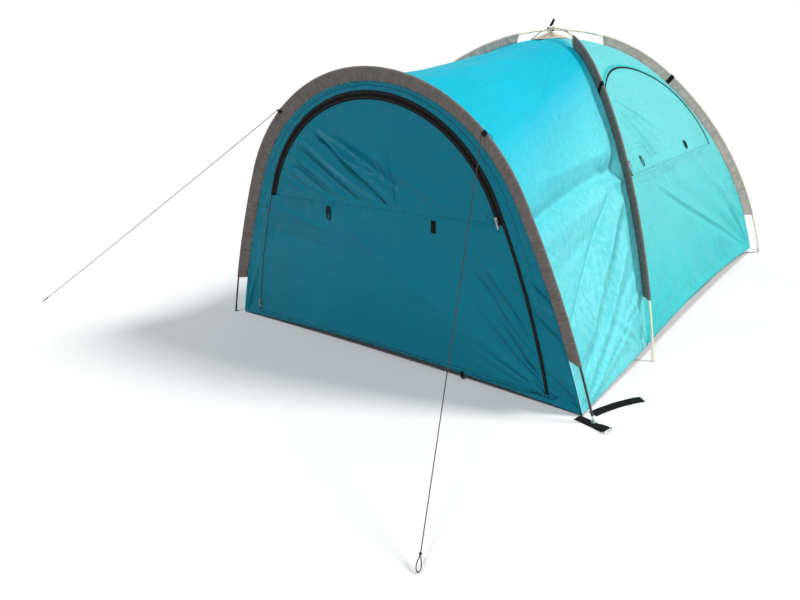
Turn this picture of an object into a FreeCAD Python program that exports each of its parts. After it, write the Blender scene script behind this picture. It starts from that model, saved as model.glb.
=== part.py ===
import FreeCAD, Part
import math
import os
from FreeCAD import Vector

# Dome tent with an arched porch. Millimetres and degrees.
# The origin is on the ground under the crossing of the two dome poles; +X is to the right seen
# from the porch, +Y to the rear and +Z up.

# Poles
HOOP_HALF_WIDTH = 1000.0
HOOP_HEIGHT = 1200.0
HOOP_CROWN_RADIUS = 790.0
HOOP_CROWN_ANGLE = 63.6
DOME_HALF_WIDTH = 1000.0
DOME_HALF_DEPTH = 950.0
DOME_HEIGHT = 1350.0
DOME_CROWN_RADIUS = 1060.0
DOME_CROWN_ANGLE = 38.3
PORCH_DEPTH = 600.0
POLE_RADIUS = 4.25
POLE_BORE = 2.75
FERRULE_RADIUS = 5.0
FERRULE_BORE = 4.27
FERRULE_LENGTH = 64.0
SHOCK_CORD_RADIUS = 2.0
SECTION_GAP = 0.5
HOOP_SECTIONS = 7
DOME_SECTIONS = 9
FOOT_Z = 6.0
CROSSING_DROP = 9.2

# Sleeves that stand off the fly like fins
SLEEVE_BORE = 5.4
SLEEVE_RADIUS = 6.2
FIN_HALF = 0.6
HOOP_FIN_IN = 48.0
HOOP_FIN_BACK = 18.0
DOME_FIN = 50.0
HOOP_FIN_END = 205.0
DOME_FIN_END = 250.0
FIN_START = {"front_right": 340.0, "front_left": 175.0, "rear_right": 300.0, "rear_left": 300.0}
SLEEVE_STRAP_AT = 775.0
SLEEVE_STRAP_WIDTH = 25.0

# Fly
FABRIC = 1.2
SEAM_GAP = 0.3
CROWN_OPENING = 70.0
FRONT_CORNER_Z = 5.0
FRONT_HEM_Z = 33.0
LEG_HEM_Z = 42.0
SIDE_HEM_Z = 68.0
REAR_CORNER_Z = 30.0

# Door and front window
DOOR_HALF_WIDTH = 828.0
DOOR_HEIGHT = 1118.0
DOOR_CROWN_RADIUS = 655.0
DOOR_CROWN_ANGLE = 66.0
DOOR_SILL_Z = 45.0
ZIP_END_Z = 62.0
WINDOW_SILL_Z = 655.0
WINDOW_ZIP_LOW_Z = 661.0
WINDOW_FOOT_HALF_WIDTH = 750.0
WINDOW_CROWN_ANGLE = 75.0
ZIP_WIDTH = 14.0
STRIP_WIDTH = 6.0
EDGE_GAP = 0.3
HINGE_GAP = 1.6

# Side windows
SIDE_HALF_WIDTH = 605.0
SIDE_TOP_Z = 1148.0
SIDE_CROWN_RADIUS = 860.0
SIDE_CROWN_ANGLE = 23.0
SIDE_SILL_Z = 694.0
SIDE_SLIDER_Z = 752.0

# Zip chain, slider and pull
TAPE = 0.9
STEM_HALF = 1.4
HEAD_HALF = 3.4
STEM_TOP = 1.2
HEAD_TOP = 3.2
RUNNING = 0.25
SLIDER_HALF_WIDTH = 5.4
SLIDER_HALF_LENGTH = 10.0
SLIDER_TOP = 5.0
BAIL_BAR_RADIUS = 1.0
BAIL_HEIGHT = 8.0
PULL_LENGTH = 34.0

# Guylines
CORD_RADIUS = 1.5
GUY_SAG = 0.004
GUY_LEFT_AT = 515.0
GUY_RIGHT_AT = 612.0
GUY_LEFT_PEG = Vector(-2097.0, -2079.0, 4.0)
GUY_RIGHT_PEG = Vector(939.0, -2480.0, 4.0)

HOOP_Y = -(DOME_HALF_DEPTH + PORCH_DEPTH)
FRONT_Y = HOOP_Y + HOOP_FIN_BACK + 1.0
UP = Vector(0, 0, 1)
RIGHT = Vector(1, 0, 0)
BACK = Vector(0, 1, 0)

os.makedirs("parts", exist_ok=True)


def write(node, *shapes):
    """Write one node: a single solid, or a group of separate solids."""
    shape = shapes[0] if len(shapes) == 1 else Part.makeCompound(list(shapes))
    for solid in shape.Solids:
        if not solid.isValid() or solid.Volume <= 0:
            print("CHECK", node, solid.isValid(), solid.Volume)
    if len(shape.Solids) != len(shapes):
        print("CHECK", node, "solids", len(shape.Solids))
    shape.exportStep("parts/" + node + ".step")


def fused(shapes):
    shape = shapes[0]
    for other in shapes[1:]:
        shape = shape.fuse(other)
    return shape.removeSplitter().Solids[0] if len(shapes) > 1 else shape


def mirrored(shape):
    return shape.mirror(Vector(0, 0, 0), RIGHT)


class Arch:
    """Half of a bent arch: a crown arc and a tangent leg arc in one vertical plane."""

    def __init__(self, base, out, half, height, crown_radius, crown_angle, foot_z=0.0):
        self.base = base
        self.out = out
        self.side = UP.cross(out)
        turn = math.radians(crown_angle)
        joint = (crown_radius * math.sin(turn), height - crown_radius * (1 - math.cos(turn)))
        run = (half - joint[0], foot_z - joint[1])
        lean = run[0] * math.sin(turn) + run[1] * math.cos(turn)
        leg_radius = -(run[0] ** 2 + run[1] ** 2) / (2 * lean)
        centre = (joint[0] - leg_radius * math.sin(turn), joint[1] - leg_radius * math.cos(turn))
        foot = math.atan2(half - centre[0], foot_z - centre[1])
        self.crown = (0.0, height - crown_radius, crown_radius, 0.0, turn)
        self.leg = (centre[0], centre[1], leg_radius, turn, foot)
        self.crown_length = crown_radius * turn
        self.length = self.crown_length + leg_radius * (foot - turn)

    def centre(self, arc):
        return self.base + self.out * arc[0] + UP * arc[1]

    def radial(self, angle):
        return self.out * math.sin(angle) + UP * math.cos(angle)

    def at(self, length, inset=0.0):
        """Point at a length from the crown, its outward radial and its tangent down the leg."""
        if length <= self.crown_length:
            arc, angle = self.crown, length / self.crown[2]
        else:
            arc, angle = self.leg, self.leg[3] + (length - self.crown_length) / self.leg[2]
        radial = self.radial(angle)
        tangent = self.out * math.cos(angle) - UP * math.sin(angle)
        return self.centre(arc) + radial * (arc[2] - inset), radial, tangent

    def point(self, arc, angle, inset):
        return self.centre(arc) + self.radial(angle) * (arc[2] - inset)

    def arc_edge(self, arc, first, last, inset):
        middle = (first + last) / 2
        points = [self.point(arc, angle, inset) for angle in (first, middle, last)]
        return Part.Arc(*points).toShape()

    def leg_angle_at(self, z, inset):
        return math.acos((z - self.leg[1]) / (self.leg[2] - inset))

    def sweep(self, section, start, end):
        """Solid with a constant section between two lengths from the crown."""
        pieces = []
        done = 0.0
        for arc in (self.crown, self.leg):
            length = arc[2] * (arc[4] - arc[3])
            first = arc[3] + max(start - done, 0.0) / arc[2]
            last = arc[3] + min(end - done, length) / arc[2]
            done += length
            if last - first > 1e-6:
                radial = self.radial(first)
                centre = self.centre(arc)
                face = section(centre + radial * arc[2], radial, self.side)
                turn = math.degrees(last - first)
                pieces.append(face.revolve(centre, self.side, turn))
        return fused(pieces)


def ring_face(outline, centre, normal, bore):
    """Flat face inside an outline, with a round bore in it when one is asked for."""
    face = Part.Face(outline)
    if bore:
        face = face.cut(Part.Face(Part.Wire(Part.Circle(centre, normal, bore).toShape()))).Faces[0]
    return face


def disc(radius, bore=0.0):
    """Round section of a rod or, with a bore, of a tube."""
    def make(centre, radial, side):
        return ring_face(Part.Wire(Part.Circle(centre, radial.cross(side), radius).toShape()),
                         centre, radial.cross(side), bore)
    return make


def keyhole(radius, half, reach, inward, back=0.0, bore=0.0):
    """Section of a sleeve: a tube round the pole and a flat fin down to the seam."""
    def make(centre, radial, side):
        towards = -radial * inward + BACK * back
        towards.normalize()
        across = radial.cross(side).cross(towards)
        neck = math.sqrt(radius ** 2 - half ** 2)

        def place(x, y):
            return centre + towards * x + across * y
        arc = Part.Arc(place(neck, half), place(-radius, 0), place(neck, -half)).toShape()
        corners = [place(neck, -half), place(reach, -half), place(reach, half), place(neck, half)]
        lines = [Part.LineSegment(a, b).toShape() for a, b in zip(corners, corners[1:])]
        return ring_face(Part.Wire([arc] + lines), centre, radial.cross(side), bore)
    return make


def polygon(points):
    return Part.makePolygon(list(points) + [points[0]])


def rod(start, end, radius):
    axis = end - start
    return Part.makeCylinder(radius, axis.Length, start, axis)


def block(centre, x_axis, y_axis, size):
    """Box of three sizes centred on a point, with two of its directions given."""
    x = Vector(x_axis).normalize()
    z = x.cross(y_axis).normalize()
    y = z.cross(x)
    corner = centre - x * (size[0] / 2) - y * (size[1] / 2) - z * (size[2] / 2)
    base = Part.Face(polygon([corner, corner + x * size[0], corner + x * size[0] + y * size[1],
                              corner + y * size[1]]))
    return base.extrude(z * size[2])


def loop(centre, along, across, half_length, half_width, radius):
    """Closed loop of round cord with straight sides and half-round ends."""
    along = Vector(along).normalize()
    across = Vector(across).normalize()
    straight = half_length - half_width

    def place(x, y):
        return centre + along * x + across * y
    edges = [
        Part.LineSegment(place(-straight, -half_width), place(straight, -half_width)).toShape(),
        Part.Arc(place(straight, -half_width), place(half_length, 0), place(straight, half_width)).toShape(),
        Part.LineSegment(place(straight, half_width), place(-straight, half_width)).toShape(),
        Part.Arc(place(-straight, half_width), place(-half_length, 0), place(-straight, -half_width)).toShape(),
    ]
    section = Part.Wire(Part.Circle(place(-straight, -half_width), along, radius).toShape())
    return Part.Wire(edges).makePipeShell([section], True, False)


# The arches
def dome_arch(x_sign, y_sign, drop):
    foot = Vector(x_sign * DOME_HALF_WIDTH, y_sign * DOME_HALF_DEPTH, 0)
    half = foot.Length
    return Arch(Vector(0, 0, 0), foot / half, half, DOME_HEIGHT - drop, DOME_CROWN_RADIUS,
                DOME_CROWN_ANGLE, FOOT_Z)


def hoop_arch(out, y):
    return Arch(Vector(0, y, 0), out, HOOP_HALF_WIDTH, HOOP_HEIGHT, HOOP_CROWN_RADIUS,
                HOOP_CROWN_ANGLE, FOOT_Z)


HOOP = {"right": hoop_arch(RIGHT, HOOP_Y), "left": hoop_arch(-RIGHT, HOOP_Y)}
LEGS = {
    "front_right": dome_arch(1, -1, 0.0),
    "rear_left": dome_arch(-1, 1, 0.0),
    "front_left": dome_arch(-1, -1, CROSSING_DROP),
    "rear_right": dome_arch(1, 1, CROSSING_DROP),
}
SEAM_LEGS = {"front_right": dome_arch(1, -1, 0.0), "rear_right": dome_arch(1, 1, 0.0)}
FRONT_HOOP = hoop_arch(RIGHT, FRONT_Y)
SIDE_ARCH = Arch(Vector(0, 0, 0), RIGHT, SIDE_HALF_WIDTH, SIDE_TOP_Z, SIDE_CROWN_RADIUS, SIDE_CROWN_ANGLE,
                 SIDE_SILL_Z)


# Poles
def pole(name, near, far, sections, pinned):
    """Tube sections and ferrules of one pole; its shock cord and end caps are handed back."""
    total = near.length + far.length
    pitch = total / sections
    ends = [-near.length + pitch * i for i in range(sections + 1)]
    trim = 8.0

    def stretch(section, start, end):
        pieces = []
        if start < 0:
            pieces.append(near.sweep(section, max(-end, 0.0), -start))
        if end > 0:
            pieces.append(far.sweep(section, max(start, 0.0), end))
        return fused(pieces)
    tubes = []
    for i in range(sections):
        start = ends[i] + (trim if i == 0 else SECTION_GAP / 2)
        end = ends[i + 1] - (trim if i == sections - 1 else SECTION_GAP / 2)
        if pinned and i == sections - 1:
            end -= 14.0
        tubes.append(stretch(disc(POLE_RADIUS, POLE_BORE), start, end))
    write(name + "_sections", *tubes)
    half = FERRULE_LENGTH / 2
    write(name + "_ferrules", *[stretch(disc(FERRULE_RADIUS, FERRULE_BORE), at - half, at + half)
                                for at in ends[1:-1]])
    caps = []
    for arch in ((near,) if pinned else (near, far)):
        cup = arch.sweep(disc(5.6, FERRULE_BORE), arch.length - 30.0, arch.length - trim)
        plug = arch.sweep(disc(5.6), arch.length - trim, arch.length - 0.5)
        tip = Part.makeSphere(FOOT_Z, arch.at(arch.length)[0])
        caps.append(fused([cup, plug, tip]))
    return stretch(disc(SHOCK_CORD_RADIUS), ends[0] + 20.0, ends[-1] - (90.0 if pinned else 20.0)), caps


def poles():
    made = [
        pole("hoop_pole", HOOP["left"], HOOP["right"], HOOP_SECTIONS, True),
        pole("dome_pole_a", LEGS["front_right"], LEGS["rear_left"], DOME_SECTIONS, False),
        pole("dome_pole_b", LEGS["front_left"], LEGS["rear_right"], DOME_SECTIONS, False),
    ]
    write("shock_cords", *[cord for cord, caps in made])
    write("pole_end_caps", *[cap for cord, caps in made for cap in caps])


# Sleeves
def sleeves():
    reach = math.hypot(HOOP_FIN_IN, HOOP_FIN_BACK)
    section = keyhole(SLEEVE_RADIUS, FIN_HALF, reach, HOOP_FIN_IN, HOOP_FIN_BACK, SLEEVE_BORE)
    halves = [arch.sweep(section, 0.0, arch.length - HOOP_FIN_END) for arch in HOOP.values()]
    write("hoop_sleeve", fused(halves))
    straps = []
    for name, arch in LEGS.items():
        width = DOME_FIN - (DOME_HEIGHT - arch.crown[1] - arch.crown[2])
        section = keyhole(SLEEVE_RADIUS, FIN_HALF, width, 1.0, 0.0, SLEEVE_BORE)
        write("sleeve_" + name, arch.sweep(section, FIN_START[name], arch.length - DOME_FIN_END))
        first = SLEEVE_STRAP_AT - SLEEVE_STRAP_WIDTH / 2
        last = SLEEVE_STRAP_AT + SLEEVE_STRAP_WIDTH / 2
        outer = arch.sweep(keyhole(SLEEVE_RADIUS + 1.8, FIN_HALF + 1.8, width - 2.0, 1.0), first, last)
        inner = arch.sweep(keyhole(SLEEVE_RADIUS + 0.4, FIN_HALF + 0.4, width, 1.0), first - 1, last + 1)
        straps.append(outer.cut(inner))
    write("sleeve_straps", *straps)


# Fly panels
def band(arch, inset, start, hem_z, thickness):
    """Closed outline of a fabric band in an arch's plane, from near the crown to the hem."""
    first = start / arch.crown[2]
    outer, inner = inset, inset + thickness
    outer_hem = arch.leg_angle_at(hem_z, outer)
    inner_hem = arch.leg_angle_at(hem_z, inner)
    turn = arch.crown[4]
    hem = Part.LineSegment(arch.point(arch.leg, outer_hem, outer), arch.point(arch.leg, inner_hem, inner))
    top = Part.LineSegment(arch.point(arch.crown, first, inner), arch.point(arch.crown, first, outer))
    return Part.Wire([
        arch.arc_edge(arch.crown, first, turn, outer),
        arch.arc_edge(arch.leg, turn, outer_hem, outer),
        hem.toShape(),
        arch.arc_edge(arch.leg, inner_hem, turn, inner),
        arch.arc_edge(arch.crown, turn, first, inner),
        top.toShape(),
    ])


def ruled(first, second):
    return Part.makeLoft([first, second], True, True)


def hem_cutter(axis, span, heights):
    """Block under a gently arched hem; span and heights are given at three places."""
    sideways = BACK if axis == "x" else RIGHT
    points = [sideways * at + UP * z for at, z in zip(span, heights)]
    low = [points[2] - UP * 200, points[0] - UP * 200]
    edges = [Part.Arc(*points).toShape()]
    for a, b in zip([points[2]] + low, low + [points[0]]):
        edges.append(Part.LineSegment(a, b).toShape())
    along = RIGHT if axis == "x" else BACK
    face = Part.Face(Part.Wire(edges))
    face.translate(along * -3000)
    return face.extrude(along * 6000)


def porch_roof():
    outline = band(FRONT_HOOP, HOOP_FIN_IN + SEAM_GAP, 0.0, FRONT_CORNER_Z, FABRIC)
    leg = band(SEAM_LEGS["front_right"], DOME_FIN + SEAM_GAP, 0.0, LEG_HEM_Z, FABRIC)
    half = ruled(outline, leg)
    write("porch_roof", fused([half, mirrored(half)]))


def side_wall(inset, thickness):
    wires = [band(SEAM_LEGS[name], inset, CROWN_OPENING, REAR_CORNER_Z, thickness) for name in SEAM_LEGS]
    wall = ruled(*wires)
    return wall.cut(hem_cutter("x", (-900.0, 0.0, 900.0), (LEG_HEM_Z, SIDE_HEM_Z, REAR_CORNER_Z)))


def side_window(inset, sill_z):
    """Prism through the right wall: a broad arch standing on a level sill."""
    prism = arch_region(SIDE_ARCH, inset, sill_z, 900.0, 200.0)
    prism.rotate(Vector(0, 0, 0), UP, -90)
    return prism


def wall_frame(y, z, outset):
    """Point on the right wall's outer face with its outward normal and its upward direction."""
    arch = SEAM_LEGS["front_right"]
    inset = DOME_FIN + SEAM_GAP - outset
    angle = arch.leg_angle_at(z, inset)
    radius = arch.leg[2] - inset
    share = DOME_HALF_WIDTH / math.hypot(DOME_HALF_WIDTH, DOME_HALF_DEPTH)
    x = (arch.leg[0] + radius * math.sin(angle)) * share
    up = Vector(-math.cos(angle) * share, 0, math.sin(angle)).normalize()
    return Vector(x, y, z), BACK.cross(up), up


def slider_section(centre, outward, across):
    """Closed outline of a zip slider's body, wrapped over the head of the zip chain."""
    low = RUNNING
    lip = STEM_TOP - RUNNING
    roof = HEAD_TOP + RUNNING
    neck = STEM_HALF + RUNNING
    cheek = HEAD_HALF + RUNNING
    width = SLIDER_HALF_WIDTH
    right = [(neck, low), (width, low), (width, SLIDER_TOP)]
    left = [(-width, SLIDER_TOP), (-width, low), (-neck, low)]
    inside = [(-neck, lip), (-cheek, lip), (-cheek, roof), (cheek, roof), (cheek, lip), (neck, lip)]
    points = [centre + across * x + outward * y for x, y in right + left + inside]
    return Part.Face(polygon(points))


def bail_and_pull(centre, outward, along, across, base_height):
    """The bar on a slider's back, and the pull tab that hangs from it along the zip."""
    bar_at = centre + outward * BAIL_HEIGHT
    posts = [block(centre + across * side * 3.9 + outward * (base_height + BAIL_HEIGHT) / 2,
                   across, along, (1.2, 3.0, BAIL_HEIGHT - base_height + 1.6)) for side in (-1, 1)]
    bar = rod(bar_at - across * 3.9, bar_at + across * 3.9, BAIL_BAR_RADIUS)
    eye = rod(bar_at - across * 2.8, bar_at + across * 2.8, 2.4)
    tab = block(bar_at + along * (PULL_LENGTH / 2 + 4), along, across, (PULL_LENGTH - 8, 7.0, 1.6))
    neck = block(bar_at + along * 5.0, along, across, (10.0, 5.6, 1.6))
    hole = rod(bar_at - across * 4, bar_at + across * 4, BAIL_BAR_RADIUS + 0.15)
    pull = fused([eye, neck, tab]).cut(hole)
    return posts + [bar], pull


def side_walls():
    inset = DOME_FIN + SEAM_GAP
    wall = side_wall(inset, FABRIC)
    hole = side_window(0.0, SIDE_SILL_Z)
    flap_outline = side_window(ZIP_WIDTH + EDGE_GAP, SIDE_SILL_Z + HINGE_GAP)
    tape_outer = side_window(EDGE_GAP, SIDE_SILL_Z + 24.0)
    tape_inner = side_window(ZIP_WIDTH, SIDE_SILL_Z + 10.0)
    chain = side_wall(inset - 2.0, FABRIC + 2.0).common(tape_outer).cut(tape_inner)
    mesh = side_wall(inset + FABRIC + 1.2, 0.6).common(side_window(-12.0, SIDE_SILL_Z - 12.0))
    turn = SIDE_ARCH.leg_angle_at(SIDE_SLIDER_Z, ZIP_WIDTH / 2)
    seat, outward, up = wall_frame(-SIDE_ARCH.point(SIDE_ARCH.leg, turn, ZIP_WIDTH / 2).x, SIDE_SLIDER_Z, 0.0)
    along = -(up * (math.sin(turn) / up.z) + BACK * math.cos(turn)).normalize()
    across = outward.cross(along)
    seat = seat + outward * 3.0
    body = block(seat + outward * 1.5, along, across, (20.0, 11.0, 3.0))
    bail, pull = bail_and_pull(seat, outward, along, across, 2.0)
    slider = fused([body] + bail)
    pieces = {
        "wall": wall.cut(hole).Solids[0],
        "window_flap": wall.common(flap_outline).Solids[0],
        "window_zip": chain.Solids[0],
        "window_mesh": mesh.Solids[0],
        "window_slider": slider,
        "window_pull": pull,
    }
    for name, solid in pieces.items():
        write("right_" + name, solid)
        write("left_" + name, mirrored(solid))
    bar = seat + outward * BAIL_HEIGHT
    print("side slider along", along, "bar", bar, "across", across)


def rear_wall():
    arch = SEAM_LEGS["rear_right"]
    first = band(arch, DOME_FIN + SEAM_GAP, CROWN_OPENING, REAR_CORNER_Z, FABRIC)
    wall = ruled(first, mirrored(first))
    write("rear_wall", wall.cut(hem_cutter("y", (-930.0, 0.0, 930.0), (REAR_CORNER_Z, SIDE_HEM_Z, REAR_CORNER_Z))))


def arch_region(arch, inset, low_z, depth, y_offset=0.0):
    """Flat panel bounded by an arch above and a level edge below."""
    turn = arch.crown[4]
    legs = low_z < arch.point(arch.crown, turn, inset).z
    if not legs:
        turn = math.acos((low_z - arch.crown[1]) / (arch.crown[2] - inset))
    crown = Part.Arc(arch.point(arch.crown, -turn, inset), arch.point(arch.crown, 0.0, inset),
                     arch.point(arch.crown, turn, inset)).toShape()
    edges = [crown]
    end = arch.point(arch.crown, turn, inset)
    if legs:
        low = arch.leg_angle_at(low_z, inset)
        edges.append(arch.arc_edge(arch.leg, turn, low, inset))
        edges.append(mirrored(edges[1]))
        end = arch.point(arch.leg, low, inset)
    edges.append(Part.LineSegment(end, Vector(-end.x, end.y, end.z)).toShape())
    face = Part.Face(Part.Wire(Part.__sortEdges__(edges)))
    face.translate(BACK * y_offset)
    return face.extrude(BACK * depth)


def zip_chain(arch, inset, low_z):
    """Tape, stem and head of a closed zip that follows an arch."""
    middle = inset + ZIP_WIDTH / 2

    def ring(half, near, far):
        outer = arch_region(arch, middle - half, low_z, far - near, near)
        inner = arch_region(arch, middle + half, low_z - 20.0, far - near, near)
        return outer.cut(inner)
    tape = ring(ZIP_WIDTH / 2 - EDGE_GAP, 0.0, TAPE)
    stem = ring(STEM_HALF, -STEM_TOP, 0.0)
    head = ring(HEAD_HALF, -HEAD_TOP, -STEM_TOP)
    return fused([tape, stem, head])


def arc_slider(arch, arc, angle, inset, down):
    """Slider and pull on a zip chain, turned about the centre of the chain's arc."""
    middle = inset + ZIP_WIDTH / 2
    half = SLIDER_HALF_LENGTH / (arc[2] - middle)
    radial = arch.radial(angle - half)
    start = arch.point(arc, angle - half, middle)
    body = slider_section(start, -BACK, radial).revolve(arch.centre(arc), arch.side, math.degrees(2 * half))
    centre = arch.point(arc, angle, middle)
    across = arch.radial(angle)
    along = (arch.out * math.cos(angle) - UP * math.sin(angle)) * down
    bail, pull = bail_and_pull(centre, -BACK, along, across, SLIDER_TOP - 0.5)
    print("slider centre of path", arch.centre(arc), "bar", centre - BACK * BAIL_HEIGHT, "across", across)
    return fused([body] + bail), pull


def front():
    door = Arch(Vector(0, FRONT_Y, 0), RIGHT, DOOR_HALF_WIDTH, DOOR_HEIGHT, DOOR_CROWN_RADIUS, DOOR_CROWN_ANGLE)
    door_left = Arch(Vector(0, FRONT_Y, 0), -RIGHT, DOOR_HALF_WIDTH, DOOR_HEIGHT, DOOR_CROWN_RADIUS,
                     DOOR_CROWN_ANGLE)
    panel = arch_region(FRONT_HOOP, HOOP_FIN_IN + FABRIC + 2 * SEAM_GAP, FRONT_CORNER_Z, FABRIC)
    panel = panel.cut(hem_cutter("y", (-945.0, 0.0, 945.0), (FRONT_CORNER_Z, FRONT_HEM_Z, FRONT_CORNER_Z)))
    write("front_surround", panel.cut(arch_region(door, 0.0, DOOR_SILL_Z, FABRIC + 2, -1)).Solids[0])
    write("door_zip", zip_chain(door, 0.0, ZIP_END_Z))

    border = ZIP_WIDTH + EDGE_GAP
    window = ZIP_WIDTH + STRIP_WIDTH
    inner = window + ZIP_WIDTH
    arched = Arch(Vector(0, FRONT_Y, 0), RIGHT, WINDOW_FOOT_HALF_WIDTH, DOOR_HEIGHT, DOOR_CROWN_RADIUS,
                  WINDOW_CROWN_ANGLE)
    leaf = arch_region(door, border, DOOR_SILL_Z + HINGE_GAP, FABRIC)
    leaf = leaf.cut(arch_region(arched, window, WINDOW_ZIP_LOW_Z, FABRIC + 2, -1))
    leaf = leaf.cut(arch_region(arched, inner, WINDOW_SILL_Z, FABRIC + 2, -1))
    write("door_panel", leaf.Solids[0])
    write("front_window_zip", zip_chain(arched, window, WINDOW_ZIP_LOW_Z + EDGE_GAP))
    write("front_window_flap", arch_region(arched, inner + EDGE_GAP, WINDOW_SILL_Z + HINGE_GAP, FABRIC))
    write("front_window_mesh", arch_region(arched, window - 3.0, WINDOW_SILL_Z - 12.0, 0.6, FABRIC + 0.8))

    low_angle = door_left.leg_angle_at(ZIP_END_Z + 36.0, ZIP_WIDTH / 2)
    slider, pull = arc_slider(door_left, door_left.leg, low_angle, 0.0, 1)
    write("door_slider", slider)
    write("door_pull", pull)
    middle = DOOR_CROWN_RADIUS - window - ZIP_WIDTH / 2
    zip_end = math.acos((WINDOW_ZIP_LOW_Z - arched.crown[1]) / middle)
    slider, pull = arc_slider(arched, arched.crown, zip_end - 14.0 / middle, window, 1)
    write("front_window_slider", slider)
    write("front_window_pull", pull)



def ties():
    """Thin loops and webbing tabs that hold the rolled flaps, and the peg loop on the front hem."""
    place, outward, up = wall_frame(-430.0, SIDE_SILL_Z + 38.0, 2.6)
    side_loop = loop(place, up, BACK, 26.0, 7.0, 1.3)
    place, outward, up = wall_frame(208.0, SIDE_SILL_Z + 38.0, 2.2)
    side_tab = block(place, up, BACK, (50.0, 14.0, 2.4))
    write("right_tie_loop", side_loop)
    write("right_tie_tab", side_tab)
    write("left_tie_loop", mirrored(side_loop))
    write("left_tie_tab", mirrored(side_tab))
    write("front_tie_loop", loop(Vector(-250, FRONT_Y - 3.0, WINDOW_SILL_Z - 44.0), UP, RIGHT, 29.0, 9.0, 2.0))
    write("front_tie_tab", block(Vector(312, FRONT_Y - 2.0, WINDOW_SILL_Z - 40.0), UP, RIGHT, (50.0, 22.0, 2.4)))
    write("front_peg_loop", block(Vector(438, FRONT_Y - 1.7, 22), UP, RIGHT, (30.0, 16.0, 2.4)))


# Crown
def crown():
    """Faceted patch over the crown and the loop that ties the crossing poles to it."""
    reach = 112.0
    rise = 3.2
    corners = []
    for x_sign, y_sign in ((1, -1), (1, 1), (-1, 1), (-1, -1)):
        point = dome_arch(x_sign, y_sign, 0.0).at(reach, DOME_FIN - rise)[0]
        corners.append(point)
    peak = Vector(0, 0, DOME_HEIGHT - CROSSING_DROP - POLE_RADIUS - 2.6)
    faces = []
    drop = Vector(0, 0, -1.2)
    for i in range(4):
        a, b = corners[i], corners[(i + 1) % 4]
        faces.append(Part.Face(polygon([peak, a, b])))
        faces.append(Part.Face(polygon([peak + drop, a + drop, b + drop])))
        faces.append(Part.Face(polygon([a, b, b + drop, a + drop])))
    shell = Part.makeShell(faces)
    shell.sewShape()
    patch = Part.makeSolid(shell)
    if patch.Volume < 0:
        patch.reverse()
    write("crown_patch", patch)
    low, high = peak.z + 0.4, DOME_HEIGHT + 8.0
    band_outer = block(Vector(0, 0, (low + high) / 2), RIGHT, BACK, (34.0, 12.0, high - low))
    band_inner = block(Vector(0, 0, (low + high) / 2), RIGHT, BACK, (31.0, 14.0, high - low - 3.0))
    write("crown_tie", band_outer.cut(band_inner))
    base = Vector(0, 0, high + 0.4)
    write("crown_toggle", fused([rod(base + Vector(4, 0, 8), base + Vector(19, 0, 34), 8.0),
                                 Part.makeSphere(8.0, base + Vector(19, 0, 34))]))


# Ground level
def groundsheet():
    half_x, front, rear, corner = 905.0, -850.0, 870.0, 60.0
    sheet = Part.makeBox(2 * half_x, rear - front, FABRIC, Vector(-half_x, front, 0))
    edges = [edge for edge in sheet.Edges if abs(edge.tangentAt(edge.FirstParameter).z) > 0.9]
    write("groundsheet", sheet.makeFillet(corner, edges))


def strap(start, end, width, thickness):
    """Flat strap between two points, level across its width."""
    along = end - start
    across = UP.cross(along).normalize()
    return block((start + end) / 2, along, across, (along.Length, width, thickness))


def flat_tail(points, width, thickness):
    """Strap lying flat along an arc through three points given from the hoop's plane."""
    points = [point + BACK * HOOP_Y for point in points]
    centre = Part.Arc(*points).toShape().Curve.Center
    rails = []
    for shift in (-width / 2, width / 2):
        rails.append([point + (point - centre).normalize() * shift for point in points])
    edges = [Part.Arc(*rails[0]).toShape(), Part.LineSegment(rails[0][2], rails[1][2]).toShape(),
             Part.Arc(*reversed(rails[1])).toShape(), Part.LineSegment(rails[1][0], rails[0][0]).toShape()]
    return Part.Face(Part.Wire(edges)).extrude(UP * thickness)


def corners():
    foot = HOOP["right"].at(HOOP["right"].length)[0]
    ring_at = Vector(1052.0, HOOP_Y - 22.0, 4.4)
    root = Vector(938.0, HOOP_Y + 4.0, 1.0)
    towards = Vector(ring_at.x - root.x, ring_at.y - root.y, 0).normalize()
    across = UP.cross(towards)
    webbing = strap(root, Vector(ring_at.x, ring_at.y, 1.0), 38.0, 2.0)
    eye = rod(ring_at - across * 19, ring_at + across * 19, 4.4)
    bore = rod(ring_at - across * 25, ring_at + across * 25, 2.7)
    write("corner_webbing", fused([webbing, eye]).cut(bore))
    write("corner_ring", loop(ring_at + towards * 7.0, across, towards, 23.0, 7.0, 2.0))
    foot_plate = Part.makeCylinder(8.0, 2.4, Vector(foot.x, foot.y, 2.2), UP)
    post = Part.makeCylinder(3.6, 9.0, Vector(foot.x, foot.y, 4.0), UP)
    pin = HOOP["right"].sweep(disc(2.5), HOOP["right"].length - 70.0, HOOP["right"].length - 3.0)
    write("corner_pin", fused([foot_plate, post, pin]))
    write("corner_tail", flat_tail([Vector(974, 55, 0), Vector(1020, 168, 0), Vector(1078, 258, 0)], 36.0, 2.0))
    tabs = []
    hem = wall_frame(888.0, 33.0, 0.0)[0]
    cap = LEGS["rear_right"].at(LEGS["rear_right"].length)[0]
    reach = (cap - hem).normalize()
    tab = strap(hem + reach * 10.0, cap - reach * (FOOT_Z + 2.0), 12.0, 2.0)
    tabs = [tab, mirrored(tab)]
    write("rear_corner_tabs", *tabs)


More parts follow.
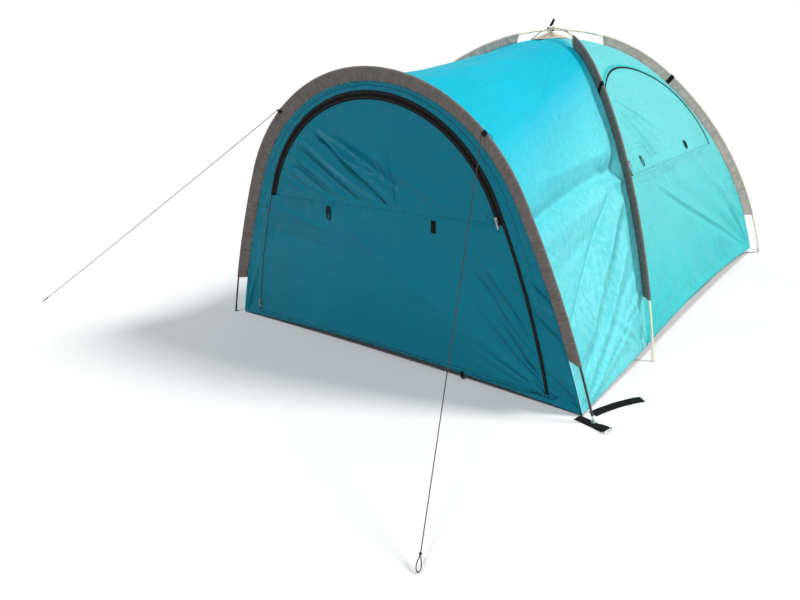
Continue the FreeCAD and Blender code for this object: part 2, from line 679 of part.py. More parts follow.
# Guylines
def sagging_cord(start, end):
    """Tube along two long runs joined by one large tangent arc, a little below the straight line."""
    middle = (start + end) / 2 - UP * ((end - start).Length * GUY_SAG)
    first = (middle - start).normalize()
    second = (end - middle).normalize()
    reach = 0.45 * (middle - start).Length
    turn = first.getAngle(second)
    radius = reach / math.tan(turn / 2)
    inward = (second - first).normalize()
    crest = middle + inward * (radius / math.cos(turn / 2) - radius)
    joins = (middle - first * reach, middle + second * reach)
    path = Part.Wire([Part.LineSegment(start, joins[0]).toShape(), Part.Arc(joins[0], crest, joins[1]).toShape(),
                      Part.LineSegment(joins[1], end).toShape()])
    print("guyline route", start, middle, end, "arc radius", round(radius, 1))
    section = Part.Wire(Part.Circle(start, first, CORD_RADIUS).toShape())
    return path.makePipeShell([section], True, False), path.Length


def guyline(name, arch, at, peg):
    """Taut cord, with its webbing tab, its two knots and the loop at the peg's end."""
    centre, radial, tangent = arch.at(at)
    tab = arch.sweep(disc(8.4, SLEEVE_RADIUS + 0.4), at - 9.0, at + 9.0)
    fin = arch.sweep(keyhole(SLEEVE_RADIUS + 0.3, FIN_HALF + 0.3, 20.0, HOOP_FIN_IN, HOOP_FIN_BACK), at - 12, at + 12)
    across = peg - centre
    across = (across - tangent * across.dot(tangent)).normalize()
    knot = centre + across * 14.4
    line = (peg - knot).normalize()
    end_knot = peg - line * 46.0
    start = knot + line * 3.0
    end = end_knot - line * 3.0
    cord, length = sagging_cord(start, end)
    write("guyline_" + name, cord)
    side = UP.cross(line).normalize()
    end_loop = loop(end_knot + line * 27.8, line, side, 20.0, 7.0, CORD_RADIUS)
    print("guyline", name, "length", round(length, 1), "from", start, "to", end)
    print("   volume over section times length", round(cord.Volume / (math.pi * CORD_RADIUS ** 2 * length), 4))
    return tab.cut(fin), Part.makeSphere(5.0, knot), Part.makeSphere(5.0, end_knot), end_loop


def guylines():
    left = guyline("left", HOOP["left"], GUY_LEFT_AT, GUY_LEFT_PEG)
    right = guyline("right", HOOP["right"], GUY_RIGHT_AT, GUY_RIGHT_PEG)
    write("guy_tabs", left[0], right[0])
    write("guyline_knots", left[1], right[1], left[2], right[2])
    write("guyline_end_loops", left[3], right[3])


poles()
sleeves()
porch_roof()
side_walls()
rear_wall()
front()
ties()
crown()
groundsheet()
corners()
guylines()
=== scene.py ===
import math

import bmesh
import bpy
import numpy as np
from mathutils import Matrix, Vector, geometry, kdtree


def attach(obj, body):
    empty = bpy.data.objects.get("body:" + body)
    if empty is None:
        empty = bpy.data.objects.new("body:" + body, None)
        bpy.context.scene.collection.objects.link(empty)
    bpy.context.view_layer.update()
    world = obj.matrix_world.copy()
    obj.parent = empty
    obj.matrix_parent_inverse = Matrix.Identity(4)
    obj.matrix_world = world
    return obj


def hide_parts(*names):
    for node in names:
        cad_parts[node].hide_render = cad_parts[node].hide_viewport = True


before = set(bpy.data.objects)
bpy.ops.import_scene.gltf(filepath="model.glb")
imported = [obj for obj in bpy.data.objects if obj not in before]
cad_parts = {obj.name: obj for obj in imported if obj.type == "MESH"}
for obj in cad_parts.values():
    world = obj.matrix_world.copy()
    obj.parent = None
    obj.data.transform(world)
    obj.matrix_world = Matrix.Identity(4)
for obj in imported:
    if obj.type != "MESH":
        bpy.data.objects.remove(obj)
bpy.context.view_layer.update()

# Arches, in metres: half width, height, crown radius, crown angle and height of the foot
DOME_X, DOME_Y, PORCH = 1.0, 0.95, 0.6
DOME_HALF = math.hypot(DOME_X, DOME_Y)
SHARE_X, SHARE_Y = DOME_X / DOME_HALF, DOME_Y / DOME_HALF
HOOP_Y = -(DOME_Y + PORCH)
FRONT_Y = HOOP_Y + 0.019
HOOP_FIN_IN, HOOP_FIN_BACK = 0.048, 0.018
DOME_FIN = 0.050
CROSSING_DROP = 0.0092
SEAM = 0.0003
CROWN_Z = 1.35
SLEEVE_R = 0.0064

# Hems
FRONT_CORNER_Z, FRONT_HEM_Z, LEG_HEM_Z, SIDE_HEM_Z, REAR_CORNER_Z = 0.005, 0.033, 0.042, 0.068, 0.030

# Door and windows
DOOR_SILL, DOOR_GAP = 0.045, 0.0016
SEAM_GAP = 0.0007
SILL = 0.655
SIDE_SILL = 0.694
FLAP_ROOM = 0.20
ZIP = 0.014
ZIP_CLEAR = 0.0003
STRIP = 0.006
CLOTH = 0.0008
NET = 0.0003
TAPE = 0.0006
COVER_Z = 0.905

CELL = 0.009

STRAP_AT = 0.775
CROWN_PEAK = 1.33395
GUY_TABS = ((1, 0.612), (-1, 0.515))


# ---------------------------------------------------------------- arches

def side_name(side):
    return "right" if side > 0 else "left"


def arch(half, height, radius, degrees, foot=0.0):
    """Crown arc and tangent leg arc as (centre, centre height, radius, first angle, last angle)."""
    turn = math.radians(degrees)
    joint = (radius * math.sin(turn), height - radius * (1 - math.cos(turn)))
    run = (half - joint[0], foot - joint[1])
    lean = run[0] * math.sin(turn) + run[1] * math.cos(turn)
    leg = -(run[0] ** 2 + run[1] ** 2) / (2 * lean)
    centre = (joint[0] - leg * math.sin(turn), joint[1] - leg * math.cos(turn))
    end = math.atan2(half - centre[0], foot - centre[1])
    return (0.0, height - radius, radius, 0.0, turn), (centre[0], centre[1], leg, turn, end)


HOOP = arch(1.0, 1.2, 0.79, 63.6, 0.006)
DOME = arch(DOME_HALF, CROWN_Z, 1.06, 38.3, 0.006)
DOME_UNDER = arch(DOME_HALF, CROWN_Z - CROSSING_DROP, 1.06, 38.3, 0.006)
DOOR = arch(0.828, 1.118, 0.655, 66.0)
WINDOW = arch(0.750, 1.118, 0.655, 75.0)
WINDOW_ZIP_LOW = 0.661
SIDE = arch(0.605, 1.148, 0.86, 23.0, SIDE_SILL)


def on_arch(shape, k, inset, hem=None):
    """Points at k (0 crown, 1 where the arcs meet, 2 at the hem or foot), as (across, z)."""
    crown, leg = shape
    k = np.asarray(k, float)
    last = leg[4] if hem is None else math.acos((hem - leg[1]) / (leg[2] - inset))
    first = k <= 1
    angle = np.where(first, crown[4] * k, leg[3] + (last - leg[3]) * (k - 1))
    radius = np.where(first, crown[2], leg[2]) - inset
    x = np.where(first, crown[0], leg[0]) + radius * np.sin(angle)
    z = np.where(first, crown[1], leg[1]) + radius * np.cos(angle)
    return x, z


def along_arch(shape, length, inset=0.0):
    """Points at lengths from the crown, with their outward and downward directions (across, z)."""
    crown, leg = shape
    length = np.asarray(length, float)
    reach = crown[2] * crown[4]
    first = length <= reach
    angle = np.where(first, length / crown[2], leg[3] + (length - reach) / leg[2])
    radius = np.where(first, crown[2], leg[2]) - inset
    x = np.where(first, crown[0], leg[0]) + radius * np.sin(angle)
    z = np.where(first, crown[1], leg[1]) + radius * np.cos(angle)
    return np.stack([x, z], 1), np.stack([np.sin(angle), np.cos(angle)], 1)


def arch_length(shape):
    crown, leg = shape
    return crown[2] * crown[4] + leg[2] * (leg[4] - leg[3])


def arc_points(arc, inset, angles):
    """Points (across, z) at angles on one arc of an arch, moved inwards by the inset."""
    radius = arc[2] - inset
    return np.stack([arc[0] + radius * np.sin(angles), arc[1] + radius * np.cos(angles)], 1)


def x_at(shape, z, inset):
    """Half width of an arch at a height, for heights on either arc."""
    crown, leg = shape
    z = np.asarray(z, float)
    joint = crown[1] + (crown[2] - inset) * math.cos(crown[4])
    upper = np.sqrt(np.maximum((crown[2] - inset) ** 2 - (z - crown[1]) ** 2, 0))
    lower = leg[0] + np.sqrt(np.maximum((leg[2] - inset) ** 2 - (z - leg[1]) ** 2, 0))
    return np.where(z >= joint, upper, lower)


# ---------------------------------------------------------------- noise and folds

def smooth(t):
    t = np.clip(t, 0, 1)
    return t * t * (3 - 2 * t)


def lattice(i, j, seed):
    value = np.sin(i * 127.1 + j * 311.7 + seed * 74.7) * 43758.5453
    return value - np.floor(value)


def noise(a, b, seed):
    """Smooth value noise from -1 to 1 on a unit lattice."""
    i, j = np.floor(a), np.floor(b)
    u, v = smooth(a - i), smooth(b - j)
    low = lattice(i, j, seed) * (1 - u) + lattice(i + 1, j, seed) * u
    high = lattice(i, j + 1, seed) * (1 - u) + lattice(i + 1, j + 1, seed) * u
    return 2 * (low * (1 - v) + high * v) - 1


def fold(a, b, start, end, width, height, ends=(0.2, 0.2), sharp=0.3, bow=0.0):
    """One fold along a line, fading out towards its ends; negative height is a valley."""
    along = np.array(end, float) - np.array(start, float)
    length = math.hypot(*along)
    along /= length
    da, db = a - start[0], b - start[1]
    t = (da * along[0] + db * along[1]) / length
    across = -da * along[1] + db * along[0] - bow * 4 * t * (1 - t)
    fade = smooth(t / ends[0] + 0.5) * smooth((1 - t) / ends[1] + 0.5)
    return height * np.exp(-1.7 * (np.sqrt((across / width) ** 2 + sharp ** 2) - sharp)) * fade


def folds_at(a, b, rows):
    """Sum of folds, one row of fold values each."""
    return sum(fold(a, b, *row) for row in rows)


def fan(a, b, centre, first, last, count, reach, height, seed, near=0.05):
    """Folds that spread from a corner: narrow and low at the corner, wider further out."""
    da, db = a - centre[0], b - centre[1]
    radius = np.hypot(da, db)
    angle = np.degrees(np.arctan2(db, da))
    span = (angle - first) / (last - first)
    inside = smooth(span * 4 + 0.4) * smooth((1 - span) * 4 + 0.4)
    wave = noise(span * count, radius * 1.2, seed) + 0.5 * noise(span * count * 2.3 + 7, radius * 2.5,
                                                                 seed + 1)
    fade = smooth(radius / near - 0.3) * smooth((reach - radius) / reach * 1.6)
    return height * wave * inside * fade


def puckers(along, distance, spacing, height, depth, seed):
    """Short wrinkles square to a seam, dying away from it."""
    wave = noise(along / spacing, distance / 0.08, seed)
    wave = wave + 0.6 * noise(along / (spacing * 0.45), distance / 0.04, seed + 3)
    vary = 0.55 + 0.45 * noise(along / (spacing * 7), along * 0, seed + 5)
    return height * wave * vary * np.exp(-distance / depth)


# ---------------------------------------------------------------- meshes

def add_mesh(name, points, faces, uvs=None, smooth_shade=True):
    mesh = bpy.data.meshes.new(name)
    mesh.from_pydata([tuple(p) for p in points], [], [tuple(f) for f in faces])
    mesh.validate()
    if uvs:
        index = np.empty(len(mesh.loops), dtype=np.int32)
        mesh.loops.foreach_get("vertex_index", index)
        for layer, values in uvs.items():
            target = mesh.uv_layers.new(name=layer)
            target.data.foreach_set("uv", np.asarray(values, np.float32)[index].ravel())
    mesh.polygons.foreach_set("use_smooth", [smooth_shade] * len(mesh.polygons))
    made = bpy.data.objects.new(name, mesh)
    bpy.context.scene.collection.objects.link(made)
    return made


def grid_faces(rows, columns, wrap=False):
    faces = []
    last = columns if wrap else columns - 1
    for r in range(rows - 1):
        for c in range(last):
            d = (c + 1) % columns
            faces.append((r * columns + c, r * columns + d, (r + 1) * columns + d, (r + 1) * columns + c))
    return faces


def running_length(points):
    """Length along a polyline up to each of its points."""
    return np.concatenate([[0], np.cumsum(np.linalg.norm(np.diff(points, axis=0), axis=1))])


def unit(vectors):
    """Rows scaled to length one."""
    return vectors / np.linalg.norm(vectors, axis=1)[:, None]


def resample(points, step):
    """Evenly spaced points along a polyline, its corners kept."""
    points = [np.array(p, float) for p in points]
    out = [points[0]]
    for a, b in zip(points, points[1:]):
        count = max(1, int(round(np.linalg.norm(b - a) / step)))
        out += [a + (b - a) * (i + 1) / count for i in range(count)]
    return np.array(out)


def inside(polygon, p):
    """Which points lie inside a closed polygon."""
    x, y = p[:, 0], p[:, 1]
    result = np.zeros(len(p), bool)
    for (x0, y0), (x1, y1) in zip(polygon, np.roll(polygon, -1, 0)):
        crosses = (y0 > y) != (y1 > y)
        with np.errstate(divide="ignore", invalid="ignore"):
            at = x0 + (y - y0) / (y1 - y0) * (x1 - x0)
        result ^= crosses & (x < at)
    return result


def flat_panel(loops, step):
    """Triangles that fill the first loop less the others: points and faces."""
    edges_p, edges = [], []
    for loop in loops:
        start = len(edges_p)
        edges_p += [tuple(p) for p in loop]
        edges += [(start + i, start + (i + 1) % len(loop)) for i in range(len(loop))]
    outline = np.array(loops[0])
    low, high = outline.min(0), outline.max(0)
    rows = np.arange(low[1], high[1], step * 0.87)
    grid = np.array([(x + (i % 2) * step / 2, y) for i, y in enumerate(rows)
                     for x in np.arange(low[0], high[0], step)])
    keep = inside(outline, grid)
    for hole in loops[1:]:
        keep &= ~inside(np.array(hole), grid)
    grid = grid[keep]
    tree = kdtree.KDTree(len(edges_p))
    for i, p in enumerate(edges_p):
        tree.insert((p[0], p[1], 0), i)
    tree.balance()
    grid = np.array([p for p in grid if tree.find((p[0], p[1], 0))[2] > step * 0.6])
    points = [Vector(p) for p in edges_p] + [Vector(p) for p in grid]
    result = geometry.delaunay_2d_cdt(points, edges, [], 0, 1e-7)
    flat = np.array([tuple(p) for p in result[0]])
    faces = np.array([f for f in result[2] if len(f) == 3])
    middle = flat[faces].mean(1)
    keep = inside(outline, middle)
    for hole in loops[1:]:
        keep &= ~inside(np.array(hole), middle)
    faces = faces[keep]
    a, b, c = flat[faces[:, 0]], flat[faces[:, 1]], flat[faces[:, 2]]
    turned = (b[:, 0] - a[:, 0]) * (c[:, 1] - a[:, 1]) - (b[:, 1] - a[:, 1]) * (c[:, 0] - a[:, 0]) < 0
    faces[turned] = faces[turned][:, ::-1]
    return flat, faces


def edge_distance(flat, loops, step=0.005):
    """Distance to the nearest edge of a panel and the place along that edge."""
    samples, places = [], []
    offset = 0.0
    for loop in loops:
        closed = list(loop) + [loop[0]]
        fine = resample(closed, step)
        run = running_length(fine)
        samples.append(fine)
        places.append(run + offset)
        offset += run[-1] + 1.7
    samples, places = np.concatenate(samples), np.concatenate(places)
    tree = kdtree.KDTree(len(samples))
    for i, p in enumerate(samples):
        tree.insert((p[0], p[1], 0), i)
    tree.balance()
    found = [tree.find((p[0], p[1], 0)) for p in flat]
    return np.array([f[2] for f in found]), places[[f[1] for f in found]]


def cloth_panel(name, loops, lift, relief, outward, thickness=CLOTH, gather=(0.030, 0.0022, 0.030), seed=1,
                cell=CELL, settle=0.05):
    """Cloth sheet: a flat cut lifted to its place, with its folds and the puckers along its edges."""
    flat, faces = flat_panel(loops, cell)
    distance, place = edge_distance(flat, loops)
    height = relief(flat[:, 0], flat[:, 1]) * smooth(distance / settle)
    height = height + puckers(place, distance, *gather, seed) * smooth(distance / 0.006)
    points = lift(flat[:, 0], flat[:, 1]) + outward(flat[:, 0], flat[:, 1]) * height[:, None]
    a, b, c = points[faces[0, 0]], points[faces[0, 1]], points[faces[0, 2]]
    facing = np.cross(b - a, c - a) @ outward(flat[faces[0, :1], 0], flat[faces[0, :1], 1])[0]
    if facing < 0:
        faces = faces[:, ::-1]
    made = add_mesh(name, points, faces, {"cloth": flat, "seam": np.stack([place, distance], 1)})
    thicken(made, thickness)
    return made


def thicken(obj, thickness, offset=-1.0):
    solid = obj.modifiers.new("thickness", "SOLIDIFY")
    solid.thickness = thickness
    solid.offset = offset
    return obj


# ---------------------------------------------------------------- materials

class Nodes:
    """Short hand for building one material's node tree."""

    def __init__(self, name):
        self.material = bpy.data.materials.new(name)
        self.material.use_nodes = True
        self.tree = self.material.node_tree
        self.shader = self.tree.nodes["Principled BSDF"]

    def add(self, kind, **values):
        node = self.tree.nodes.new(kind)
        for key, value in values.items():
            if hasattr(node, key):
                setattr(node, key, value)
            else:
                node.inputs[key.replace("_", " ")].default_value = value
        return node

    def link(self, source, target):
        self.tree.links.new(source, target)

    def feed(self, value, socket):
        """Set a socket to a number or a colour, or link an output to it."""
        if isinstance(value, (int, float)):
            socket.default_value = value
        elif isinstance(value, tuple):
            socket.default_value = (*value, 1.0)
        else:
            self.link(value, socket)

    def uv(self, layer):
        return self.add("ShaderNodeUVMap", uv_map=layer).outputs["UV"]

    def scaled(self, vector, scale):
        node = self.add("ShaderNodeMapping")
        node.inputs["Scale"].default_value = scale
        self.link(vector, node.inputs["Vector"])
        return node.outputs["Vector"]

    def noise(self, vector, scale, detail=3.0, rough=0.5):
        node = self.add("ShaderNodeTexNoise")
        node.inputs["Scale"].default_value = scale
        node.inputs["Detail"].default_value = detail
        node.inputs["Roughness"].default_value = rough
        self.link(vector, node.inputs["Vector"])
        return node.outputs["Fac"]

    def wave(self, vector, scale, direction, distortion=0.0):
        node = self.add("ShaderNodeTexWave", wave_type="BANDS", bands_direction=direction)
        node.inputs["Scale"].default_value = scale
        node.inputs["Distortion"].default_value = distortion
        self.link(vector, node.inputs["Vector"])
        return node.outputs["Fac"]

    def ramp(self, value, low, high, first, last):
        node = self.add("ShaderNodeMapRange")
        for key, number in (("From Min", low), ("From Max", high), ("To Min", first), ("To Max", last)):
            node.inputs[key].default_value = number
        self.link(value, node.inputs["Value"])
        return node.outputs["Result"]

    def mix(self, factor, first, last):
        node = self.add("ShaderNodeMix", data_type="RGBA")
        for index, value in ((0, factor), (6, first), (7, last)):
            self.feed(value, node.inputs[index])
        return node.outputs[2]

    def tones(self, value, low, high, colour, dark, light):
        """A colour shaded from dark to light as a value goes from low to high."""
        return self.mix(self.ramp(value, low, high, 0, 1), shade(colour, dark), shade(colour, light))

    def parts(self, vector):
        """The X, Y and Z outputs of a vector."""
        node = self.add("ShaderNodeSeparateXYZ")
        self.link(vector, node.inputs[0])
        return node.outputs

    def math(self, operation, first, last=0.0):
        node = self.add("ShaderNodeMath", operation=operation)
        self.feed(first, node.inputs[0])
        self.feed(last, node.inputs[1])
        return node.outputs[0]

    def bump(self, height, strength, distance, under=None):
        node = self.add("ShaderNodeBump")
        node.inputs["Strength"].default_value = strength
        node.inputs["Distance"].default_value = distance
        self.link(height, node.inputs["Height"])
        if under is not None:
            self.link(under, node.inputs["Normal"])
        return node.outputs["Normal"]

    def finish(self, colour=None, roughness=None, normal=None, **fixed):
        for key, source in (("Base Color", colour), ("Roughness", roughness), ("Normal", normal)):
            if source is not None:
                self.link(source, self.shader.inputs[key])
        for key, value in fixed.items():
            self.shader.inputs[key.replace("_", " ")].default_value = value
        return self.material


def shade(colour, factor):
    return tuple(min(1.0, c * factor) for c in colour)


def coated_cloth(name, colour, roughness=0.42, stitches=True, painted_light=None, rumple=1.0):
    """Thin coated polyester: plain weave, fine crinkles, soft sheen and a stitched hem, with an optional
    painted sunlit tone along one cloth axis.
    """
    n = Nodes(name)
    cloth, seam = n.uv("cloth"), n.uv("seam")
    broad = n.noise(n.scaled(cloth, (1, 1, 1)), 2.2, 4.0)
    fine = n.noise(cloth, 46.0, 5.0, 0.6)
    base = n.tones(broad, 0.3, 0.7, colour, 0.93, 1.05)
    # Painted light: the colour fades to a brighter sunlit tone as one cloth coordinate grows.
    if painted_light:
        axis, low, high, other = painted_light
        share = n.ramp(n.math("ABSOLUTE", n.parts(cloth)[axis]), low, high, 0, 1)
        base = n.mix(share, base, n.tones(broad, 0.3, 0.7, other, 0.93, 1.05))
    base = n.mix(n.ramp(fine, 0.35, 0.65, 0, 0.35), base, shade(colour, 0.88))
    patches = n.ramp(n.noise(cloth, 3.1, 2.0), 0.40, 0.66, 0.12, 1.0)
    crinkle = n.math("MULTIPLY", n.noise(cloth, 9.0, 4.0, 0.55), patches)
    crease = n.math("ABSOLUTE",
                    n.math("SUBTRACT", n.noise(n.scaled(cloth, (1.0, 2.4, 1.0)), 8.0, 2.0, 0.5), 0.5))
    weave = n.math("MULTIPLY", n.wave(cloth, 420.0, "X"), n.wave(cloth, 420.0, "Y"))
    normal = n.bump(crinkle, 1.0, 0.016 * rumple)
    normal = n.bump(n.math("MULTIPLY", n.ramp(crease, 0.0, 0.07, 0.0, 1.0), patches), 0.5, 0.0032 * rumple,
                    normal)
    normal = n.bump(weave, 0.10, 0.0002, normal)
    gather = n.noise(n.scaled(seam, (70.0, 7.0, 1.0)), 1.0, 3.0)
    along, inwards, _ = n.parts(seam)
    near = n.ramp(inwards, 0.0, 0.045, 1.0, 0.0)
    normal = n.bump(n.math("MULTIPLY", gather, near), 1.0, 0.008, normal)
    if stitches:
        rows = n.math("COMPARE", inwards, 0.0085)
        rows.node.inputs[2].default_value = 0.0006
        dash = n.math("GREATER_THAN", n.math("FRACT", n.math("MULTIPLY", along, 260.0)), 0.35)
        stitch = n.math("MULTIPLY", rows, dash)
        base = n.mix(n.math("MULTIPLY", stitch, 0.3), base, shade(colour, 0.4))
        folded = n.math("LESS_THAN", inwards, 0.0100)
        normal = n.bump(folded, 0.6, 0.0008, normal)
    rough = n.ramp(n.noise(cloth, 9.0, 4.0), 0.3, 0.7, roughness - 0.06, roughness + 0.08)
    return n.finish(base, rough, normal, Sheen_Weight=0.01, Specular_IOR_Level=0.10)


def sleeve_cloth(name, colour):
    """Uncoated woven sleeve with crosswise gathers and slubs."""
    n = Nodes(name)
    cloth = n.uv("cloth")
    slub = n.noise(n.scaled(cloth, (260.0, 24.0, 1.0)), 1.0, 3.0)
    patch = n.noise(n.scaled(cloth, (22.0, 9.0, 1.0)), 1.0, 3.0)
    base = n.tones(slub, 0.35, 0.65, colour, 0.78, 1.20)
    base = n.mix(n.ramp(patch, 0.45, 0.7, 0, 0.5), base, shade(colour, 0.60))
    weave = n.math("MULTIPLY", n.wave(cloth, 520.0, "X"), n.wave(cloth, 520.0, "Y"))
    gather = n.noise(n.scaled(cloth, (95.0, 9.0, 1.0)), 1.0, 4.0)
    normal = n.bump(gather, 1.0, 0.007)
    normal = n.bump(weave, 0.25, 0.0003, normal)
    rough = n.ramp(slub, 0.2, 0.8, 0.62, 0.82)
    return n.finish(base, rough, normal, Sheen_Weight=0.10, Specular_IOR_Level=0.20)


def zip_cloth(name, colour, line):
    """Zip tape: ribbed weave with a paler stitch line along each edge."""
    n = Nodes(name)
    cloth = n.uv("cloth")
    side = n.math("ABSOLUTE", n.parts(cloth)["Y"])
    rib = n.wave(cloth, 300.0, "Y")
    edge = n.math("GREATER_THAN", side, ZIP / 2 - 0.0014)
    dash = n.ramp(n.noise(n.scaled(cloth, (300.0, 1.0, 1.0)), 1.0, 2.0), 0.4, 0.6, 0.35, 1.0)
    base = n.tones(rib, 0.2, 0.8, colour, 0.8, 1.3)
    base = n.mix(n.math("MULTIPLY", edge, dash), base, line)
    normal = n.bump(rib, 0.4, 0.0004)
    rough = n.ramp(n.noise(cloth, 60.0), 0.3, 0.7, 0.6, 0.8)
    return n.finish(base, rough, normal, Specular_IOR_Level=0.15)


def moulded(name, colour, roughness, metal=0.0, grain=60.0, strength=0.15, stretch=(1.0, 1.0, 1.0)):
    """Moulded, drawn or cast material with fine grain and slight tone changes, in object space."""
    n = Nodes(name)
    place = n.add("ShaderNodeTexCoord").outputs["Object"]
    fine = n.noise(n.scaled(place, stretch), grain * 8, 4.0)
    broad = n.noise(place, grain * 0.4, 3.0)
    base = n.tones(broad, 0.3, 0.7, colour, 0.86, 1.12)
    base = n.mix(n.ramp(fine, 0.45, 0.8, 0, 0.3), base, shade(colour, 0.7))
    rough = n.ramp(fine, 0.3, 0.7, roughness - 0.07, roughness + 0.1)
    return n.finish(base, rough, n.bump(fine, strength, 0.0006), Metallic=metal)


def cap_plastic():
    """Pole end caps: black on the hoop, ivory on the dome's feet further back."""
    n = Nodes("pole_cap")
    place = n.add("ShaderNodeTexCoord").outputs["Object"]
    grain = n.noise(place, 400.0, 3.0)
    dark = n.mix(n.ramp(grain, 0.3, 0.7, 0, 1), (0.012, 0.012, 0.012), (0.022, 0.022, 0.022))
    pale = n.mix(n.ramp(grain, 0.3, 0.7, 0, 1), (0.60, 0.55, 0.42), (0.72, 0.66, 0.50))
    back = n.math("GREATER_THAN", n.parts(place)["Y"], -1.3)
    return n.finish(n.mix(back, dark, pale), n.ramp(grain, 0.2, 0.8, 0.4, 0.6), n.bump(grain, 0.2, 0.0004))


def braid(name, colour, second, across=900.0):
    """Braided cord, in object space, with a fleck of second colour."""
    n = Nodes(name)
    place = n.add("ShaderNodeTexCoord").outputs["Object"]
    weave = n.math("MULTIPLY", n.wave(place, across, "DIAGONAL"), n.wave(place, across, "Z"))
    fleck = n.noise(place, 240.0, 2.0)
    base = n.mix(n.ramp(fleck, 0.42, 0.58, 0, 1), colour, second)
    rough = n.ramp(weave, 0.0, 1.0, 0.7, 0.9)
    return n.finish(base, rough, n.bump(weave, 0.5, 0.0006), Sheen_Weight=0.05, Specular_IOR_Level=0.2)


def strap(name, colour, second):
    """Flat woven webbing: ribs across, a raised selvedge along each edge."""
    n = Nodes(name)
    cloth = n.uv("cloth")
    rib = n.wave(cloth, 190.0, "X")
    cross = n.wave(cloth, 150.0, "Y")
    weave = n.math("MULTIPLY", rib, n.ramp(cross, 0.0, 1.0, 0.5, 1.0))
    base = n.mix(n.ramp(weave, 0.1, 0.8, 0, 1), colour, second)
    base = n.mix(n.ramp(n.noise(cloth, 40.0), 0.45, 0.75, 0, 0.4), base, shade(second, 1.6))
    rough = n.ramp(weave, 0.0, 1.0, 0.75, 0.9)
    return n.finish(base, rough, n.bump(weave, 0.6, 0.0007), Sheen_Weight=0.02, Specular_IOR_Level=0.1)


def net(name, colour):
    """Insect net: fine threads with open cells."""
    n = Nodes(name)
    cloth = n.uv("cloth")
    x, y = n.wave(cloth, 260.0, "X"), n.wave(cloth, 260.0, "Y")
    threads = n.math("MAXIMUM", x, y)
    base = n.tones(n.noise(cloth, 30.0), 0.3, 0.7, colour, 0.8, 1.2)
    n.link(n.ramp(threads, 0.55, 0.75, 0.35, 1.0), n.shader.inputs["Alpha"])
    return n.finish(base, n.ramp(threads, 0, 1, 0.6, 0.8), n.bump(threads, 0.4, 0.0004))


# The walls' colour is the fly's own teal, tinted paler and warmer than the roof as painted sun glare; the
# colour after it is painted sunlight that the walls fade to towards their top.
FLY = (0.026, 0.385, 0.405)
FLY_PAINTED_SUNLIT = (0.110, 0.460, 0.470)
# The porch roof's colour is the fly's teal tinted bluer as painted skylight; the colour after it is painted
# sunlight through the cloth, which the roof fades to down its sides.
ROOF = (0.0, 0.355, 0.470)
ROOF_PAINTED_SUNLIT = (0.120, 0.495, 0.510)
# The porch front's colour is the fly's teal darkened as painted shade.
FRONT_SHADED = (0.0, 0.128, 0.185)
MAT = {
    "fly": coated_cloth("fly_cloth_painted_sunlight", FLY, 0.50, True, ("Y", 0.12, 0.75, FLY_PAINTED_SUNLIT)),
    "roof": coated_cloth("roof_cloth_painted_light", ROOF, 0.50, True, ("X", 0.60, 1.10, ROOF_PAINTED_SUNLIT)),
    "front": coated_cloth("front_cloth_painted_shade", FRONT_SHADED, 0.42, True, None, 0.45),
    # The two sleeve cloths below are one grey-beige sleeve cloth lit two ways: the first darkened as painted
    # shade, the second lightened as painted sunlight.
    "sleeve": sleeve_cloth("sleeve_cloth", (0.118, 0.102, 0.092)),
    "sleeve_beige": sleeve_cloth("sleeve_cloth_painted_sunlight", (0.44, 0.395, 0.345)),
    "crown": coated_cloth("crown_cloth", (0.42, 0.37, 0.30), 0.6, False),
    "zip": zip_cloth("zip_tape", (0.002, 0.002, 0.003), (0.008, 0.008, 0.008)),
    # The faced tape takes the front's painted-shade colour, darker still.
    "zip_faced": zip_cloth("zip_tape_faced_painted_shade", shade(FRONT_SHADED, 0.8), (0.10, 0.30, 0.36)),
    "strip": coated_cloth("zip_strip", (0.002, 0.002, 0.003), 0.7, False),
    # A pale cyan cord colour along the hoop's seam: a painted highlight line.
    "seam_highlight": coated_cloth("edge_painted_highlight", (0.30, 0.62, 0.66), 0.5, False),
    "coil": moulded("zip_coil", (0.006, 0.005, 0.005), 0.55),
    "slider": moulded("zip_slider", (0.35, 0.34, 0.33), 0.35, 1.0),
    "ivory": moulded("pole_ivory", (0.68, 0.62, 0.45), 0.38, 0.0, 40.0, 0.1, (1, 1, 0.1)),
    "black_pole": moulded("pole_black", (0.012, 0.012, 0.013), 0.35, 0.0, 40.0, 0.1, (1, 1, 0.1)),
    "ferrule": moulded("pole_ferrule", (0.55, 0.54, 0.52), 0.32, 1.0),
    "cap": cap_plastic(),
    "webbing": strap("webbing", (0.002, 0.002, 0.002), (0.006, 0.006, 0.006)),
    "tie": braid("tie_cord", (0.004, 0.004, 0.004), (0.009, 0.009, 0.009)),
    "guy": braid("guy_cord", (0.048, 0.032, 0.017), (0.020, 0.014, 0.009), 1100.0),
    "knot": braid("knot_cord", (0.030, 0.024, 0.018), (0.008, 0.008, 0.008), 1100.0),
    "steel": moulded("plated_steel", (0.60, 0.60, 0.58), 0.28, 1.0),
    "ground": coated_cloth("groundsheet_cloth", (0.035, 0.040, 0.045), 0.55),
    "net": net("insect_net", (0.020, 0.022, 0.022)),
    "elastic": braid("shock_cord", (0.55, 0.53, 0.48), (0.30, 0.28, 0.25)),
}


def place(obj, body, slot, material, *nodes):
    """Material, body, record slot (not used) and the CAD nodes that a piece stands for."""
    obj.data.materials.clear()
    obj.data.materials.append(MAT[material])
    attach(obj, body)
    if nodes:
        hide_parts(*nodes)
    return obj


# ---------------------------------------------------------------- camera and cords

